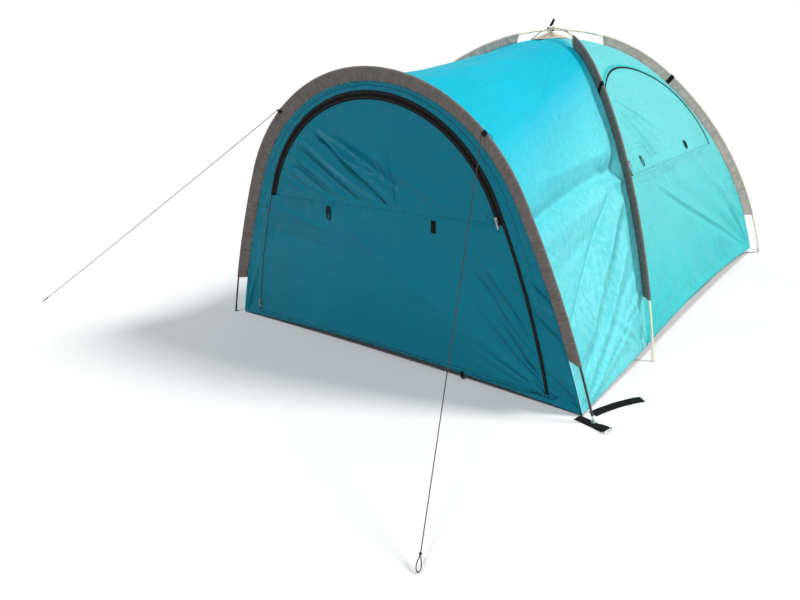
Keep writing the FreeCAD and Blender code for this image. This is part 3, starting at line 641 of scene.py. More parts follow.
def camera():
    """The fitted camera of the photograph."""
    yaw, pitch, roll = 0.696, 0.352, -0.045
    ahead = Vector((-math.sin(yaw) * math.cos(pitch), math.cos(yaw) * math.cos(pitch), -math.sin(pitch)))
    right = Vector((math.cos(yaw), math.sin(yaw), 0))
    up = right.cross(ahead)
    tilted_right = right * math.cos(roll) + up * math.sin(roll)
    tilted_up = up * math.cos(roll) - right * math.sin(roll)
    data = bpy.data.cameras.new("camera")
    data.sensor_width = 36.0
    data.lens = 29.21
    data.clip_start, data.clip_end = 0.05, 60.0
    made = bpy.data.objects.new("camera", data)
    made.matrix_world = Matrix.Translation((1.761, -3.485, 1.216)) @ Matrix(
        (tilted_right, tilted_up, -ahead)).transposed().to_4x4()
    bpy.context.scene.collection.objects.link(made)
    bpy.context.scene.camera = made


def curve(name, points, radius, closed=False, order=3):
    data = bpy.data.curves.new(name, "CURVE")
    data.dimensions = "3D"
    data.bevel_depth = radius
    data.bevel_resolution = 3
    data.resolution_u = 10
    data.use_fill_caps = True
    spline = data.splines.new("NURBS")
    spline.points.add(len(points) - 1)
    for target, point in zip(spline.points, points):
        target.co = (*point, 1.0)
    spline.order_u = order
    spline.use_cyclic_u = closed
    spline.use_endpoint_u = not closed
    made = bpy.data.objects.new(name, data)
    bpy.context.scene.collection.objects.link(made)
    return made


def knot(name, centre, axis, size, turns=3):
    """Wrapped knot: turns of cord round the line, with two crossing tucks."""
    axis = Vector(axis).normalized()
    side = axis.orthogonal().normalized()
    other = axis.cross(side)
    points = []
    steps = 10 * turns
    for i in range(steps + 1):
        angle = math.tau * i / 10
        along = (i / steps - 0.5) * size * 1.5
        swell = size * (0.55 + 0.12 * math.sin(math.pi * i / steps))
        points.append(centre + axis * along + (side * math.cos(angle) + other * math.sin(angle)) * swell)
    points += [centre + axis * size * 0.4 - side * size * 0.75,
               centre - axis * size * 0.5 + other * size * 0.8,
               centre - axis * size * 0.9 + side * size * 0.2]
    made = curve(name, points, size * 0.24)
    made.data.resolution_u = 4
    return made


# Guyline routes, the same points as the CAD tubes
GUY_RADIUS = 0.0015
GUYS = {
    "left": ((-0.484251, -1.564565, 1.039736), (-1.270715, -1.815431, 0.526913),
             (-2.057180, -2.066298, 0.029573)),
    "right": ((0.549268, -1.565088, 0.968216), (0.737241, -2.006361, 0.497818),
              (0.925213, -2.447635, 0.038109)),
}


def guylines():
    for name, route in GUYS.items():
        start, end = Vector(route[0]), Vector(route[-1])
        line = (end - start).normalized()
        cord = curve("guyline_" + name, route, GUY_RADIUS)
        cord.data.resolution_u = 24
        top = knot("guy_knot_" + name, start - line * 0.003, line, 0.0048)
        centre = end + line * 0.003
        bottom = knot("guy_end_knot_" + name, centre, line, 0.0048)
        knots = [top, bottom]
        if name == "right":
            across = Vector((0.95, 0.25, 0.0))
            tail = [start, start + across * 0.010 + Vector((0, 0, 0.006)),
                    start + across * 0.024 + Vector((0, 0, 0.008)),
                    start + across * 0.036 - Vector((0, 0, 0.001)),
                    start + across * 0.040 - Vector((0, 0, 0.010))]
            knots.append(curve("guy_knot_tail", tail, 0.0013))
        side = Vector((0, 0, 1)).cross(line).normalized()
        loop = [centre + line * 0.005 + side * 0.001, centre + line * 0.020 + side * 0.006,
                centre + line * 0.036 + side * 0.0072, centre + line * 0.0465,
                centre + line * 0.036 - side * 0.0072, centre + line * 0.020 - side * 0.006,
                centre + line * 0.005 - side * 0.001]
        eye = curve("guy_end_loop_" + name, loop, GUY_RADIUS)
        place(cord, "tent", "guy_cord", "guy", "guyline_" + name)
        place(eye, "tent", "guy_cord", "guy", "guyline_end_loops")
        for piece in knots:
            place(piece, "tent", "guy_cord", "knot", "guyline_knots")
        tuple(route[0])


camera()
guylines()


# ---------------------------------------------------------------- porch roof

def porch_point(k, v, side):
    """Point on the porch roof: k down the arches, v from the hoop (0) to the dome's leg (1)."""
    hoop_x, hoop_z = on_arch(HOOP, k, HOOP_FIN_IN + SEAM, FRONT_CORNER_Z)
    leg, leg_z = on_arch(DOME, k, DOME_FIN + SEAM, LEG_HEM_Z)
    front = np.stack([hoop_x * side, np.full_like(hoop_x, FRONT_Y), hoop_z], -1)
    back = np.stack([leg * SHARE_X * side, -leg * SHARE_Y, leg_z], -1)
    return front * (1 - v)[..., None] + back * v[..., None]


def porch_relief(side, y, z, x, k, v):
    """Folds of the porch cloth, in metres outwards."""
    mirror = 0 if side > 0 else 11
    height = -0.012 * np.sin(math.pi * v) * np.clip(1.6 - k, 0, 1)
    height += folds_at(y, z, (
        ((-1.48, 0.655), (-0.64, 0.760), 0.040, -0.024, (0.15, 0.15), 0.35, 0.010),
        ((-1.30, 0.775), (-0.72, 0.815), 0.040, 0.012, (0.4, 0.1)),
        ((-0.98, 0.700), (-0.70, 0.690), 0.018, 0.009, (0.3, 0.1), 0.2),
        ((-1.44, 0.585), (-0.80, 0.680), 0.050, 0.010, (0.3, 0.2), 0.4),
        ((-1.44, 0.20), (-0.80, 0.640), 0.038, 0.022, (0.25, 0.12), 0.25, 0.020),
        ((-1.46, 0.29), (-0.86, 0.665), 0.022, -0.014, (0.25, 0.12), 0.2, 0.016),
        ((-1.43, 0.135), (-0.84, 0.560), 0.022, -0.018, (0.25, 0.12), 0.2, 0.010),
        ((-1.44, 0.10), (-0.88, 0.470), 0.020, 0.013, (0.25, 0.15), 0.2),
        ((-1.44, 0.07), (-0.90, 0.350), 0.018, -0.009, (0.3, 0.2), 0.2),
        ((-1.44, 0.05), (-0.92, 0.250), 0.018, 0.007, (0.3, 0.2), 0.2),
        ((-1.50, 0.46), (-1.10, 0.560), 0.030, -0.006, (0.2, 0.4)),
    ))
    height += fan(y, z, (-1.53, 0.0), 12, 62, 16, 1.0, 0.0075, 21 + mirror)
    height += fan(y, z, (-0.90, 0.02), 85, 165, 12, 0.60, 0.0060, 31 + mirror)
    height += fan(y, z, (-0.70, 0.72), 150, 230, 9, 0.30, 0.0060, 35 + mirror)
    height += 0.005 * noise(x * 2.2 + 3, y * 1.6, 41 + mirror) * np.clip(1.5 - k, 0, 1)
    height += fold(y, x, (-1.0, 0.55), (-0.45, 0.52), 0.05, -0.005, (0.3, 0.3)) * np.clip(1.3 - k, 0, 1) * 2
    height += 0.0022 * noise(x * 9 + y * 6, y * 3 - x * 3, 43 + mirror)
    return 1.35 * height


def porch_roof():
    rows = 130
    half = 230
    points, cloth, seam = [], [], []
    length = arch_length(HOOP) - 0.05
    ks = np.linspace(0, 2, half + 1)
    signed = np.concatenate([-ks[::-1], ks[1:]])
    vs = np.linspace(0, 1, rows + 1)
    for v in vs:
        k = np.abs(signed)
        side = np.where(signed < 0, -1.0, 1.0)
        here = np.full_like(k, v)
        p = porch_point(k, here, side)
        step = 0.002
        pk = porch_point(np.clip(k + step, 0, 2), here, side) - porch_point(np.clip(k - step, 0, 2), here,
                                                                            side)
        pv = porch_point(k, np.clip(here + step, 0, 1), side) - porch_point(k, np.clip(here - step, 0, 1),
                                                                            side)
        normal = np.cross(pv, pk)
        normal *= np.where(np.sum(normal * (p - np.array([0, -0.9, 0.1])), 1) < 0, -1, 1)[:, None]
        normal /= np.linalg.norm(normal, axis=1)[:, None]
        normal[len(k) // 2] = (0, 0, 1)
        arch_place = signed * length / 2
        depth = 0.45 + 0.45 * (1 - k / 2)
        reach = 0.62 + 0.9 * (1 - k / 2)
        to_hoop, to_leg, to_hem = v * reach, (1 - v) * reach, (2 - k) * 0.55
        distance = np.minimum(np.minimum(to_hoop, to_leg), to_hem)
        place_along = np.where(distance < to_hem, arch_place * 1.0, 5.0 + v * depth)
        relief = np.where(side > 0, porch_relief(1, p[:, 1], p[:, 2], p[:, 0], k, v),
                          porch_relief(-1, p[:, 1], p[:, 2], p[:, 0], k, v))
        bump = relief * smooth(np.minimum(to_hoop, to_leg) / 0.06) * smooth(to_hem / 0.03)
        bump += puckers(arch_place, np.minimum(to_hoop, to_leg), 0.026, 0.0020, 0.035,
                        51) * smooth(distance / 0.006)
        points.append(p + normal * bump[:, None])
        cloth.append(np.stack([arch_place, np.full_like(k, v * 0.9)], 1))
        seam.append(np.stack([place_along, distance], 1))
    points = np.concatenate(points)
    faces = np.array(grid_faces(rows + 1, len(signed)))
    made = add_mesh("porch_cloth", points, faces[:, ::-1],
                    {"cloth": np.concatenate(cloth), "seam": np.concatenate(seam)})
    thicken(made, CLOTH)
    place(made, "tent", "fly_fabric", "roof", "porch_roof")


# ---------------------------------------------------------------- side and rear walls

def leg_width(z, share):
    return x_at(DOME, z, DOME_FIN + SEAM) * share


def wall_lift(side):
    """Side wall: (y, z) to its place."""
    def lift(a, b):
        return np.stack([side * leg_width(b, SHARE_X), a, b], 1)
    return lift


def rear_lift(a, b):
    return np.stack([a, leg_width(b, SHARE_Y), b], 1)


def slope_normal(z, share, across):
    """Outward normal of a wall that leans with the dome's legs; across is 0 for x or 1 for y."""
    step = 0.002
    rise = (leg_width(z + step, share) - leg_width(z - step, share)) / (2 * step)
    length = np.sqrt(1 + rise ** 2)
    out = np.zeros((len(z), 3))
    out[:, across] = 1 / length
    out[:, 2] = -rise / length
    return out


def wall_normal(side):
    def outward(a, b):
        out = slope_normal(np.asarray(b, float), SHARE_X, 0)
        out[:, 0] *= side
        return out
    return outward


def rear_normal(a, b):
    return slope_normal(np.asarray(b, float), SHARE_Y, 1)


def wall_relief(side):
    shift = 0 if side > 0 else 17

    def relief(a, b):
        height = -0.014 * np.exp(-((b - 0.45) / 0.30) ** 2) * np.exp(-(a / 0.6) ** 2)
        height += folds_at(a, b, (
            ((-0.30, 0.60), (0.88, 0.045), 0.012, 0.009, (0.3, 0.03), 0.2),
            ((-0.10, 0.60), (0.88, 0.055), 0.045, -0.007, (0.3, 0.03), 0.4),
            ((-0.28, 0.57), (0.86, 0.035), 0.024, -0.005, (0.3, 0.03), 0.3),
            ((0.30, 0.62), (0.80, 0.25), 0.050, 0.008, (0.3, 0.2)),
        ))
        height += fan(a, b, (-0.50, 1.07), -75, -22, 15, 0.72, 0.0070, 61 + shift)
        height += fan(a, b, (0.90, 0.03), 125, 172, 10, 0.9, 0.0045, 71 + shift)
        height += fan(a, b, (-0.90, 0.05), 12, 75, 10, 0.7, 0.0045, 75 + shift)
        height += fan(a, b, (0.60, 0.70), 100, 200, 9, 0.35, 0.0045, 79 + shift)
        height += 0.0050 * noise(a * 2.0 + 5, b * 2.2, 81 + shift)
        height += 0.0020 * noise(a * 10 + b * 5, b * 5 - a * 3, 83 + shift)
        height += 0.0040 * noise(a * 17, b * 5, 85 + shift) * np.exp(-np.abs(b - SIDE_SILL) / 0.040)
        return 1.4 * height
    return relief


def rear_relief(a, b):
    height = -0.012 * np.exp(-((b - 0.5) / 0.35) ** 2) * np.exp(-(a / 0.6) ** 2)
    height += fan(a, b, (0.95, 0.03), 118, 172, 9, 1.1, 0.0045, 91)
    height += fan(a, b, (-0.95, 0.03), 8, 62, 9, 1.1, 0.0045, 95)
    height += fan(a, b, (0.0, 1.30), -140, -40, 9, 0.7, 0.0035, 97)
    height += 0.004 * noise(a * 2.0 + 9, b * 2.2, 99)
    return height


def wall_outline(share, hems, top=1.2975):
    """Outline of a wall between two legs: (along, z), with its arched hem."""
    hem = hems[2]
    zs = np.concatenate([np.linspace(hem, 1.1, 130),
                         1.1 + (top - 1.1) * np.sin(np.linspace(0.02, math.pi / 2, 60))])
    right = np.stack([leg_width(zs, share), zs], 1)
    zs = zs[zs > hems[0]]
    left = np.stack([-leg_width(zs, share), zs], 1)
    start = np.array([[-leg_width(np.array([hems[0]]), share)[0], hems[0]]])
    left = np.concatenate([start, left])
    span = np.linspace(0, 1, 160)[1:-1]
    low = left[0] * (1 - span)[:, None] + right[0] * span[:, None]
    low[:, 1] += 4 * span * (1 - span) * (hems[1] - (hems[0] + hems[2]) / 2)
    return np.concatenate([low, right, left[::-1]])


def side_wall(name, side):
    lift, outward, relief = wall_lift(side), wall_normal(side), wall_relief(side)
    outline = wall_outline(SHARE_Y, (LEG_HEM_Z, SIDE_HEM_Z, REAR_CORNER_Z))
    hole = arch_outline(SIDE, 0.0, SIDE_SILL + SEAM_GAP)
    wall = cloth_panel(name + "_wall_cloth", [outline, hole], lift, relief, outward, seed=5 + side)
    place(wall, "tent", "fly_fabric", "fly", name + "_wall")
    flap_line = arch_outline(SIDE, ZIP + ZIP_CLEAR, SIDE_SILL + DOOR_GAP - SEAM_GAP)
    flap = cloth_panel(name + "_window_cloth", [flap_line], lift, relief, outward, seed=9 + side)
    place(flap, name + "_window", "fly_fabric", "fly", name + "_window_flap")
    net_line = arch_outline(SIDE, -0.008, SIDE_SILL - 0.010)

    def net_lift(a, b):
        return lift(a, b) - outward(a, b) * 0.0034

    def net_relief(a, b):
        return np.minimum(relief(a, b), 0) - 0.001
    screen = cloth_panel(name + "_window_net", [net_line], net_lift, net_relief, outward,
                         NET, (0.05, 0.0008, 0.02), 3)
    place(screen, "tent", "mesh", "net", name + "_window_mesh")
    side_zip(name, lift, outward)


def path_frame(shape, inset, low, step=0.006):
    """Points over an arch with their directions across it, pointing in."""
    loop = arch_outline(shape, inset, low, step)
    line = loop[loop[:, 1] > low + 1e-5]
    tangent = unit(np.gradient(line, axis=0))
    return line, np.stack([-tangent[:, 1], tangent[:, 0]], 1)


def side_zip(name, lift, outward):
    """Zip round a side window; a cloth lip covers it over the top."""
    line, across = path_frame(SIDE, ZIP / 2, SIDE_SILL + 0.022)

    def at(shift):
        p = line + across * shift
        return lift(p[:, 0], p[:, 1]) + outward(p[:, 0], p[:, 1]) * 0.0004, outward(p[:, 0], p[:, 1])
    zip_pieces(name + "_window_zip_detail", at, "tent", name + "_window_zip")
    covered = line[:, 1] > COVER_Z
    rows, seam = [], []
    offsets = (-0.012, -0.009, -0.006, -0.003, -0.0005, 0.0002)
    heights = (0.0002, 0.0014, 0.0026, 0.0030, 0.0026, 0.0012)
    run = np.arange(len(line)) * 0.006
    for offset, height in zip(offsets, heights):
        p = line + across * offset
        ripple = height * (1 + 0.25 * noise(run / 0.03, run * 0, 301))
        rows.append((lift(p[:, 0], p[:, 1]) + outward(p[:, 0], p[:, 1]) * ripple[:, None])[covered])
        seam.append(np.stack([run, np.full(len(run), 0.02 + offset)], 1)[covered])
    count = int(covered.sum())
    points, uv = np.stack(rows, 1).reshape(-1, 3), np.stack(seam, 1).reshape(-1, 2)
    lip = add_mesh(name + "_window_lip", points, grid_faces(count, len(offsets)), {"cloth": uv, "seam": uv})
    thicken(lip, TAPE, 0.0)
    place(lip, "tent", "fly_fabric", "fly")


def rear_wall():
    outline = wall_outline(SHARE_X, (REAR_CORNER_Z, SIDE_HEM_Z, REAR_CORNER_Z))
    wall = cloth_panel("rear_wall_cloth", [outline], rear_lift, rear_relief, rear_normal, seed=15)
    place(wall, "tent", "fly_fabric", "fly", "rear_wall")


# ---------------------------------------------------------------- zips

def zip_pieces(name, at, body, node, tape_material="zip", width=ZIP - 0.0002, pitch=0.0034):
    """Tape and coil of a closed zip; at(across) gives points and normals along it."""
    rows = [at(s * width / 2)[0] for s in (-1, -0.5, 0, 0.5, 1)]
    normal = at(0.0)[1]
    lifts = (0.0, 0.0003, 0.0005, 0.0003, 0.0)
    count = len(normal)
    run = running_length(rows[2])
    points = np.stack([r + normal * h for r, h in zip(rows, lifts)], 1).reshape(-1, 3)
    uv = np.stack([np.repeat(run, 5), np.tile(np.linspace(-0.5, 0.5, 5) * ZIP, count)], 1)
    faces = [list(f) for f in grid_faces(count, 5)]
    a, b, c = (points[i] for i in faces[0][:3])
    if np.cross(b - a, c - a) @ normal[0] < 0:
        faces = [f[::-1] for f in faces]
    tape = add_mesh(name, points, faces, {"cloth": uv})
    thicken(tape, TAPE)
    place(tape, body, "zip", tape_material, node)
    along = unit(np.gradient(rows[2], axis=0))
    teeth_p, teeth_f = [], []
    total = run[-1]
    for i in range(int(total / pitch)):
        s = (i + 0.5) * pitch
        p = np.array([np.interp(s, run, rows[2][:, j]) for j in range(3)])
        n = np.array([np.interp(s, run, normal[:, j]) for j in range(3)])
        t = np.array([np.interp(s, run, along[:, j]) for j in range(3)])
        w = np.cross(n, t)
        hand = 1 if i % 2 else -1
        base = len(teeth_p)
        for dt, dw, dn in ((-0.40, -1.2, 0.4), (0.40, -1.2, 0.4), (0.40, 2.4, 0.4), (-0.40, 2.4, 0.4),
                           (-0.28, -0.7, 1.7), (0.28, -0.7, 1.7), (0.28, 1.9, 1.7), (-0.28, 1.9, 1.7)):
            teeth_p.append(p + t * dt * pitch + w * hand * dw * 0.001 + n * dn * 0.001)
        quads = ((0, 1, 5, 4), (1, 2, 6, 5), (2, 3, 7, 6), (3, 0, 4, 7), (4, 5, 6, 7), (3, 2, 1, 0))
        teeth_f += [tuple(base + q for q in (quad if hand < 0 else quad[::-1])) for quad in quads]
    teeth = add_mesh(name + "_coil", teeth_p, teeth_f)
    place(teeth, body, "zip", "coil", node)


# ---------------------------------------------------------------- front

def front_lift(a, b):
    return np.stack([a, np.full_like(a, FRONT_Y), b], 1)


def front_normal(a, b):
    out = np.zeros((len(a), 3))
    out[:, 1] = -1
    return out


def front_relief(a, b):
    """Folds of the porch front, in metres outwards."""
    height = 0.006 * np.exp(-((a + 0.05) / 0.5) ** 2 - ((b - 0.42) / 0.25) ** 2)
    above = smooth((b - SILL) / 0.010)
    folds = folds_at(a, b, (
        ((-0.33, 0.99), (0.14, 0.665), 0.020, 0.014, (0.25, 0.10), 0.2, 0.006),
        ((-0.30, 0.955), (0.09, 0.67), 0.016, -0.011, (0.25, 0.10), 0.2),
        ((-0.39, 0.92), (0.02, 0.665), 0.015, 0.012, (0.2, 0.12), 0.2, -0.004),
        ((-0.41, 0.88), (-0.05, 0.665), 0.012, -0.007, (0.2, 0.12), 0.2),
        ((-0.43, 0.84), (-0.13, 0.665), 0.014, 0.010, (0.2, 0.12), 0.2, 0.005),
        ((-0.45, 0.80), (-0.20, 0.665), 0.011, -0.006, (0.2, 0.12), 0.2),
        ((-0.48, 0.79), (-0.27, 0.672), 0.012, 0.009, (0.2, 0.15), 0.2),
        ((-0.50, 0.74), (-0.34, 0.665), 0.010, 0.006, (0.2, 0.15), 0.2),
        ((-0.22, 0.89), (0.30, 0.665), 0.016, 0.008, (0.3, 0.10), 0.2, 0.006),
        ((-0.20, 0.93), (0.26, 0.68), 0.026, -0.008, (0.3, 0.15), 0.3),
        ((-0.10, 0.92), (0.45, 0.665), 0.020, 0.004, (0.4, 0.12), 0.3),
    ))
    folds += fan(a, b, (0.15, 0.60), 95, 158, 20, 0.42, 0.0060, 101, 0.04)
    folds += 0.0035 * noise(a * 30 + b * 20, b * 8, 103) * np.exp(-np.abs(b - SILL) / 0.040)
    below = folds_at(a, b, (
        ((0.55, 0.50), (0.79, 0.22), 0.018, 0.009, (0.3, 0.1), 0.2, 0.006),
        ((0.50, 0.45), (0.77, 0.17), 0.016, -0.007, (0.3, 0.1), 0.2),
        ((0.60, 0.36), (0.80, 0.15), 0.013, 0.007, (0.3, 0.1), 0.2),
        ((0.64, 0.30), (0.81, 0.10), 0.010, 0.005, (0.3, 0.1), 0.2),
        ((-0.20, 0.60), (0.30, 0.30), 0.060, 0.005, (0.4, 0.4)),
        ((0.25, 0.60), (0.62, 0.18), 0.050, -0.004, (0.4, 0.4)),
        ((-0.72, 0.62), (-0.30, 0.54), 0.020, 0.0045, (0.3, 0.4)),
        ((-0.74, 0.50), (-0.25, 0.44), 0.030, -0.0035, (0.3, 0.4)),
    ))
    below += fan(a, b, (0.86, 0.02), 112, 172, 16, 0.50, 0.0065, 105, 0.04)
    below += 0.0030 * noise(a * 26, b * 8, 107) * np.exp(-np.abs(b - SILL) / 0.030)
    edge = a + 0.30 * b
    corner = 0.0080 * noise(edge * 3, (b + 0.75 * a) * 30,
                            109) * smooth((a - 0.70) / 0.06) * smooth((0.62 - b) / 0.2)
    corner_left = fan(a, b, (-0.93, 0.0), 45, 80, 9, 0.45, 0.0045, 111, 0.03) * smooth((-a - 0.72) / 0.05)
    height += 2.0 * folds * above + 2.2 * below * (1 - above) + 2.2 * corner + 2.0 * corner_left
    height += 0.0012 * noise(a * 9 + b * 5, b * 9 - a * 5, 113)
    for tie_x in (-0.250, 0.312):
        height = height * (1 - np.exp(-((a - tie_x) / 0.028) ** 2 - ((b - 0.615) / 0.042) ** 2))
    room = FLAP_ROOM * np.abs(b - SILL) + 0.0004
    out = np.maximum(height, 0.0)
    return height - out + out / (1 + (out / room) ** 4) ** 0.25


def arch_outline(shape, inset, low, step=0.010):
    """Outline of a panel under an arch: right side up, over the crown and down, with a level base."""
    crown, leg = shape
    zs_top = crown[1] + (crown[2] - inset) * math.cos(crown[4])
    if low < zs_top:
        last = math.acos((low - leg[1]) / (leg[2] - inset))
        count = int((leg[2] - inset) * (last - leg[3]) / step)
        angles = np.linspace(last, leg[3], count + 1)
        side = arc_points(leg, inset, angles)
        turn = crown[4]
    else:
        turn = math.acos((low - crown[1]) / (crown[2] - inset))
        side = np.zeros((0, 2))
    count = int((crown[2] - inset) * 2 * turn / step)
    angles = np.linspace(turn, -turn, count + 1)
    over = arc_points(crown, inset, angles)
    if len(side):
        loop = np.concatenate([side, over[1:-1], side[::-1] * [-1, 1]])
    else:
        loop = over
    base = resample([loop[-1], loop[0]], step)[1:-1]
    return np.concatenate([loop, base])


def front():
    inset = HOOP_FIN_IN - 0.0010
    outline = arch_outline(HOOP, inset, FRONT_CORNER_Z)
    hem = np.abs(outline[:, 1] - FRONT_CORNER_Z) < 1e-6
    half = outline[hem, 0].max()
    outline[hem, 1] += (FRONT_HEM_Z - FRONT_CORNER_Z) * (1 - (outline[hem, 0] / half) ** 2)
    surround = cloth_panel("front_surround_cloth", [outline, arch_outline(DOOR, 0.0, DOOR_SILL + SEAM_GAP)],
                           front_lift, front_relief, front_normal, gather=(0.024, 0.0040, 0.030), seed=2,
                           cell=0.7 * CELL,
                           settle=0.018)
    place(surround, "tent", "front_fabric", "front", "front_surround")
    window = ZIP + STRIP
    leaf = door_leaf_outline()
    door = cloth_panel("door_cloth", [leaf], front_lift, front_relief, front_normal,
                       gather=(0.028, 0.0032, 0.028), seed=3,
                        cell=0.85 * CELL)
    place(door, "door", "front_fabric", "front", "door_panel")

    def strip_relief(a, b):
        return front_relief(a, b) * 0.3
    strip = cloth_panel("door_top_strip", [strip_outline()], front_lift, strip_relief, front_normal,
                        gather=(0.028, 0.0010, 0.02), seed=4)
    place(strip, "door", "zip", "strip", "door_panel")
    flap = cloth_panel("front_window_cloth",
                       [arch_outline(WINDOW, window + ZIP + ZIP_CLEAR, SILL + DOOR_GAP - SEAM_GAP)],
                       front_lift, front_relief, front_normal, gather=(0.026, 0.0040, 0.032), seed=6,
                       cell=0.66 * CELL)
    place(flap, "front_window", "front_fabric", "front", "front_window_flap")

    def net_lift(a, b):
        return front_lift(a, b) + np.array([0, 0.0030, 0])

    def net_relief(a, b):
        return np.minimum(front_relief(a, b), 0) - 0.002
    screen = cloth_panel("front_window_net", [arch_outline(WINDOW, window - 0.002, SILL - 0.010)], net_lift,
                         net_relief, front_normal, NET, (0.05, 0.0008, 0.02), 7)
    place(screen, "door", "mesh", "net", "front_window_mesh")
    front_zip("door_zip_detail", "tent", "door_zip", DOOR, ZIP / 2, 0.062)
    front_zip("front_window_zip_detail", "door", "front_window_zip", WINDOW, window + ZIP / 2,
              WINDOW_ZIP_LOW)


def door_leaf_outline():
    """The door below the window seam, out to the door zip."""
    leg = DOOR[1]
    inset = ZIP + ZIP_CLEAR
    first = math.acos((DOOR_SILL + DOOR_GAP - SEAM_GAP - leg[1]) / (leg[2] - inset))
    last = math.acos((SILL + SEAM_GAP - leg[1]) / (leg[2] - inset))
    angles = np.linspace(first, last, 70)
    right = arc_points(leg, inset, angles)
    left = right[::-1] * [-1, 1]
    top = resample([right[-1], left[0]], 0.010)[1:-1]
    base = resample([left[-1], right[0]], 0.010)[1:-1]
    return np.concatenate([right, top, left, base])


def window_bow(inset, low, step=0.010):
    """The window's round edge from right to left, down to a height."""
    radius = WINDOW[0][2] - inset
    turn = math.acos((low - WINDOW[0][1]) / radius)
    angles = np.linspace(turn, -turn, int(radius * 2 * turn / step) + 1)
    return arc_points(WINDOW[0], inset, angles)


def strip_outline():
    """Strip of the door between its two zips, from the window seam round the crown."""
    low = SILL + 0.0006
    outer = arch_outline(DOOR, ZIP + ZIP_CLEAR, low)
    outer = outer[outer[:, 1] > low + 1e-6]
    inner = window_bow(ZIP + STRIP, WINDOW_ZIP_LOW)[::-1]
    foot = window_bow(ZIP + STRIP + ZIP, low)
    knee = window_bow(ZIP + STRIP + ZIP, WINDOW_ZIP_LOW)
    return np.concatenate([outer, foot[-1:], knee[-1:], inner, knee[:1], foot[:1]])


def front_zip(name, body, node, shape, inset, low):
    """Zip on the porch front; the left leg's tape is faced with the door's own cloth."""
    line, across = path_frame(shape, inset, low)
    left = (line[:, 0] < 0) & (line[:, 1] < SILL) if shape is DOOR else np.zeros(len(line), bool)
    for part, keep, tape in (("", ~left, "zip"), ("_left", left, "zip_faced")):
        if keep.sum() < 3:
            continue

        def at(shift, keep=keep):
            p = (line + across * shift)[keep]
            return front_lift(p[:, 0], p[:, 1]) + np.array([0, -0.0006, 0]), front_normal(p[:, 0], p[:, 1])
        zip_pieces(name + part, at, body, node, tape)


# ---------------------------------------------------------------- sleeves

def sleeve_section(width, grow=0.0):
    """Half-open tube over the pole closing to a flat fin: (towards the seam, sideways)."""
    radius = SLEEVE_R + grow
    angles = np.radians(np.linspace(-105, 105, 13))
    x, y = -radius * np.cos(angles), radius * np.sin(angles)
    t = np.linspace(0, 1, 9)[1:]
    up_x, up_y = x[-1] + (width - x[-1]) * t, y[-1] + (0.0007 + grow - y[-1]) * t ** 0.75
    return np.concatenate([x, up_x, up_x[::-1]]), np.concatenate([y, up_y, -up_y[::-1]])


def fin_width(shape, centres, outs, width):
    """Fin width at each pole point; the lower pole's fin still reaches the same seam."""
    if shape is not DOME_UNDER:
        return np.full(len(centres), width)
    on_crown = outs[:, 0] <= math.sin(DOME[0][4])
    gaps = [arc[2] - np.hypot(centres[:, 0] - arc[0], centres[:, 1] - arc[1]) for arc in DOME]
    return width - np.where(on_crown, gaps[0], gaps[1])


def sleeve(name, shape, to_world, start, end, width, node, material, slot, seed, grow=0.0):
    """Gathered cloth sleeve: round over the pole and closed to a fin that is sewn into the seam."""
    step = 0.003 if grow else (0.004)
    slant = 0.0 if grow else 0.020
    count = max(3, int((end - start) / step))
    share = np.linspace(0, 1, count)
    middle_centres, middle_outs = along_arch(shape, start + (end - start) * share)
    widths = fin_width(shape, middle_centres, middle_outs, width)
    rows, uvs = [], []
    for i in range(count):
        x, y = sleeve_section(widths[i], grow)
        girth = running_length(np.stack([x, y], 1))
        depth = np.clip(x / width, 0, 1)
        first = start + (slant * depth if start > 0 else 0.0)
        length = first + (end - slant * depth - first) * share[i]
        wave = noise(length / 0.013, np.sign(y) * 3 + depth * 1.5, seed)
        wave += 0.7 * noise(length / 0.030, np.sign(y) * 3 + depth, seed + 1)
        swell = 0.0016 * wave * np.where(depth > 0.02, np.sin(np.pi * np.clip(depth, 0.06, 0.94)), 0.25)
        calm = 0.0 if grow else smooth((np.abs(length - STRAP_AT) - 0.010) / 0.020)
        y = y + (np.sign(y) * np.abs(swell) * 0.5 + swell) * calm
        x = x + 0.0006 * wave * (depth > 0.9) * calm
        centres, outs = along_arch(shape, length)
        rows.append(to_world(centres, -outs, x, y))
        uvs.append(np.stack([length, girth], 1))
    points = np.concatenate(rows)
    faces = grid_faces(count, len(rows[0]), True)
    made = add_mesh(name, points, faces, {"cloth": np.concatenate(uvs)})
    flip_outwards(made)
    if grow:
        thicken(made, 0.0010, 1.0)
    place(made, "tent", slot, material, node)
    return made


def flip_outwards(obj):
    work = bmesh.new()
    work.from_mesh(obj.data)
    bmesh.ops.recalc_face_normals(work, faces=work.faces)
    work.to_mesh(obj.data)
    work.free()


def hoop_world(side):
    towards_share = math.hypot(HOOP_FIN_IN, HOOP_FIN_BACK)
    ca, cb = HOOP_FIN_IN / towards_share, HOOP_FIN_BACK / towards_share

    def to_world(centre, inward, x, y):
        across, up = inward.T
        level = np.full_like(across, 1.0)
        towards = np.stack([across * side * ca, level * cb, up * ca], 1)
        flat = np.stack([across * side * cb, -level * ca, up * cb], 1)
        base = np.stack([centre[:, 0] * side, level * HOOP_Y, centre[:, 1]], 1)
        return base + x[:, None] * towards + y[:, None] * flat
    return to_world


def dome_world(x_sign, y_sign):
    out = np.array([x_sign * SHARE_X, y_sign * SHARE_Y, 0.0])
    flat = np.array([-out[1], out[0], 0.0])
    up = np.array([0.0, 0.0, 1.0])

    def to_world(centre, inward, x, y):
        towards = out * inward[:, :1] + up * inward[:, 1:]
        base = out * centre[:, :1] + up * centre[:, 1:]
        return base + x[:, None] * towards + y[:, None] * flat
    return to_world


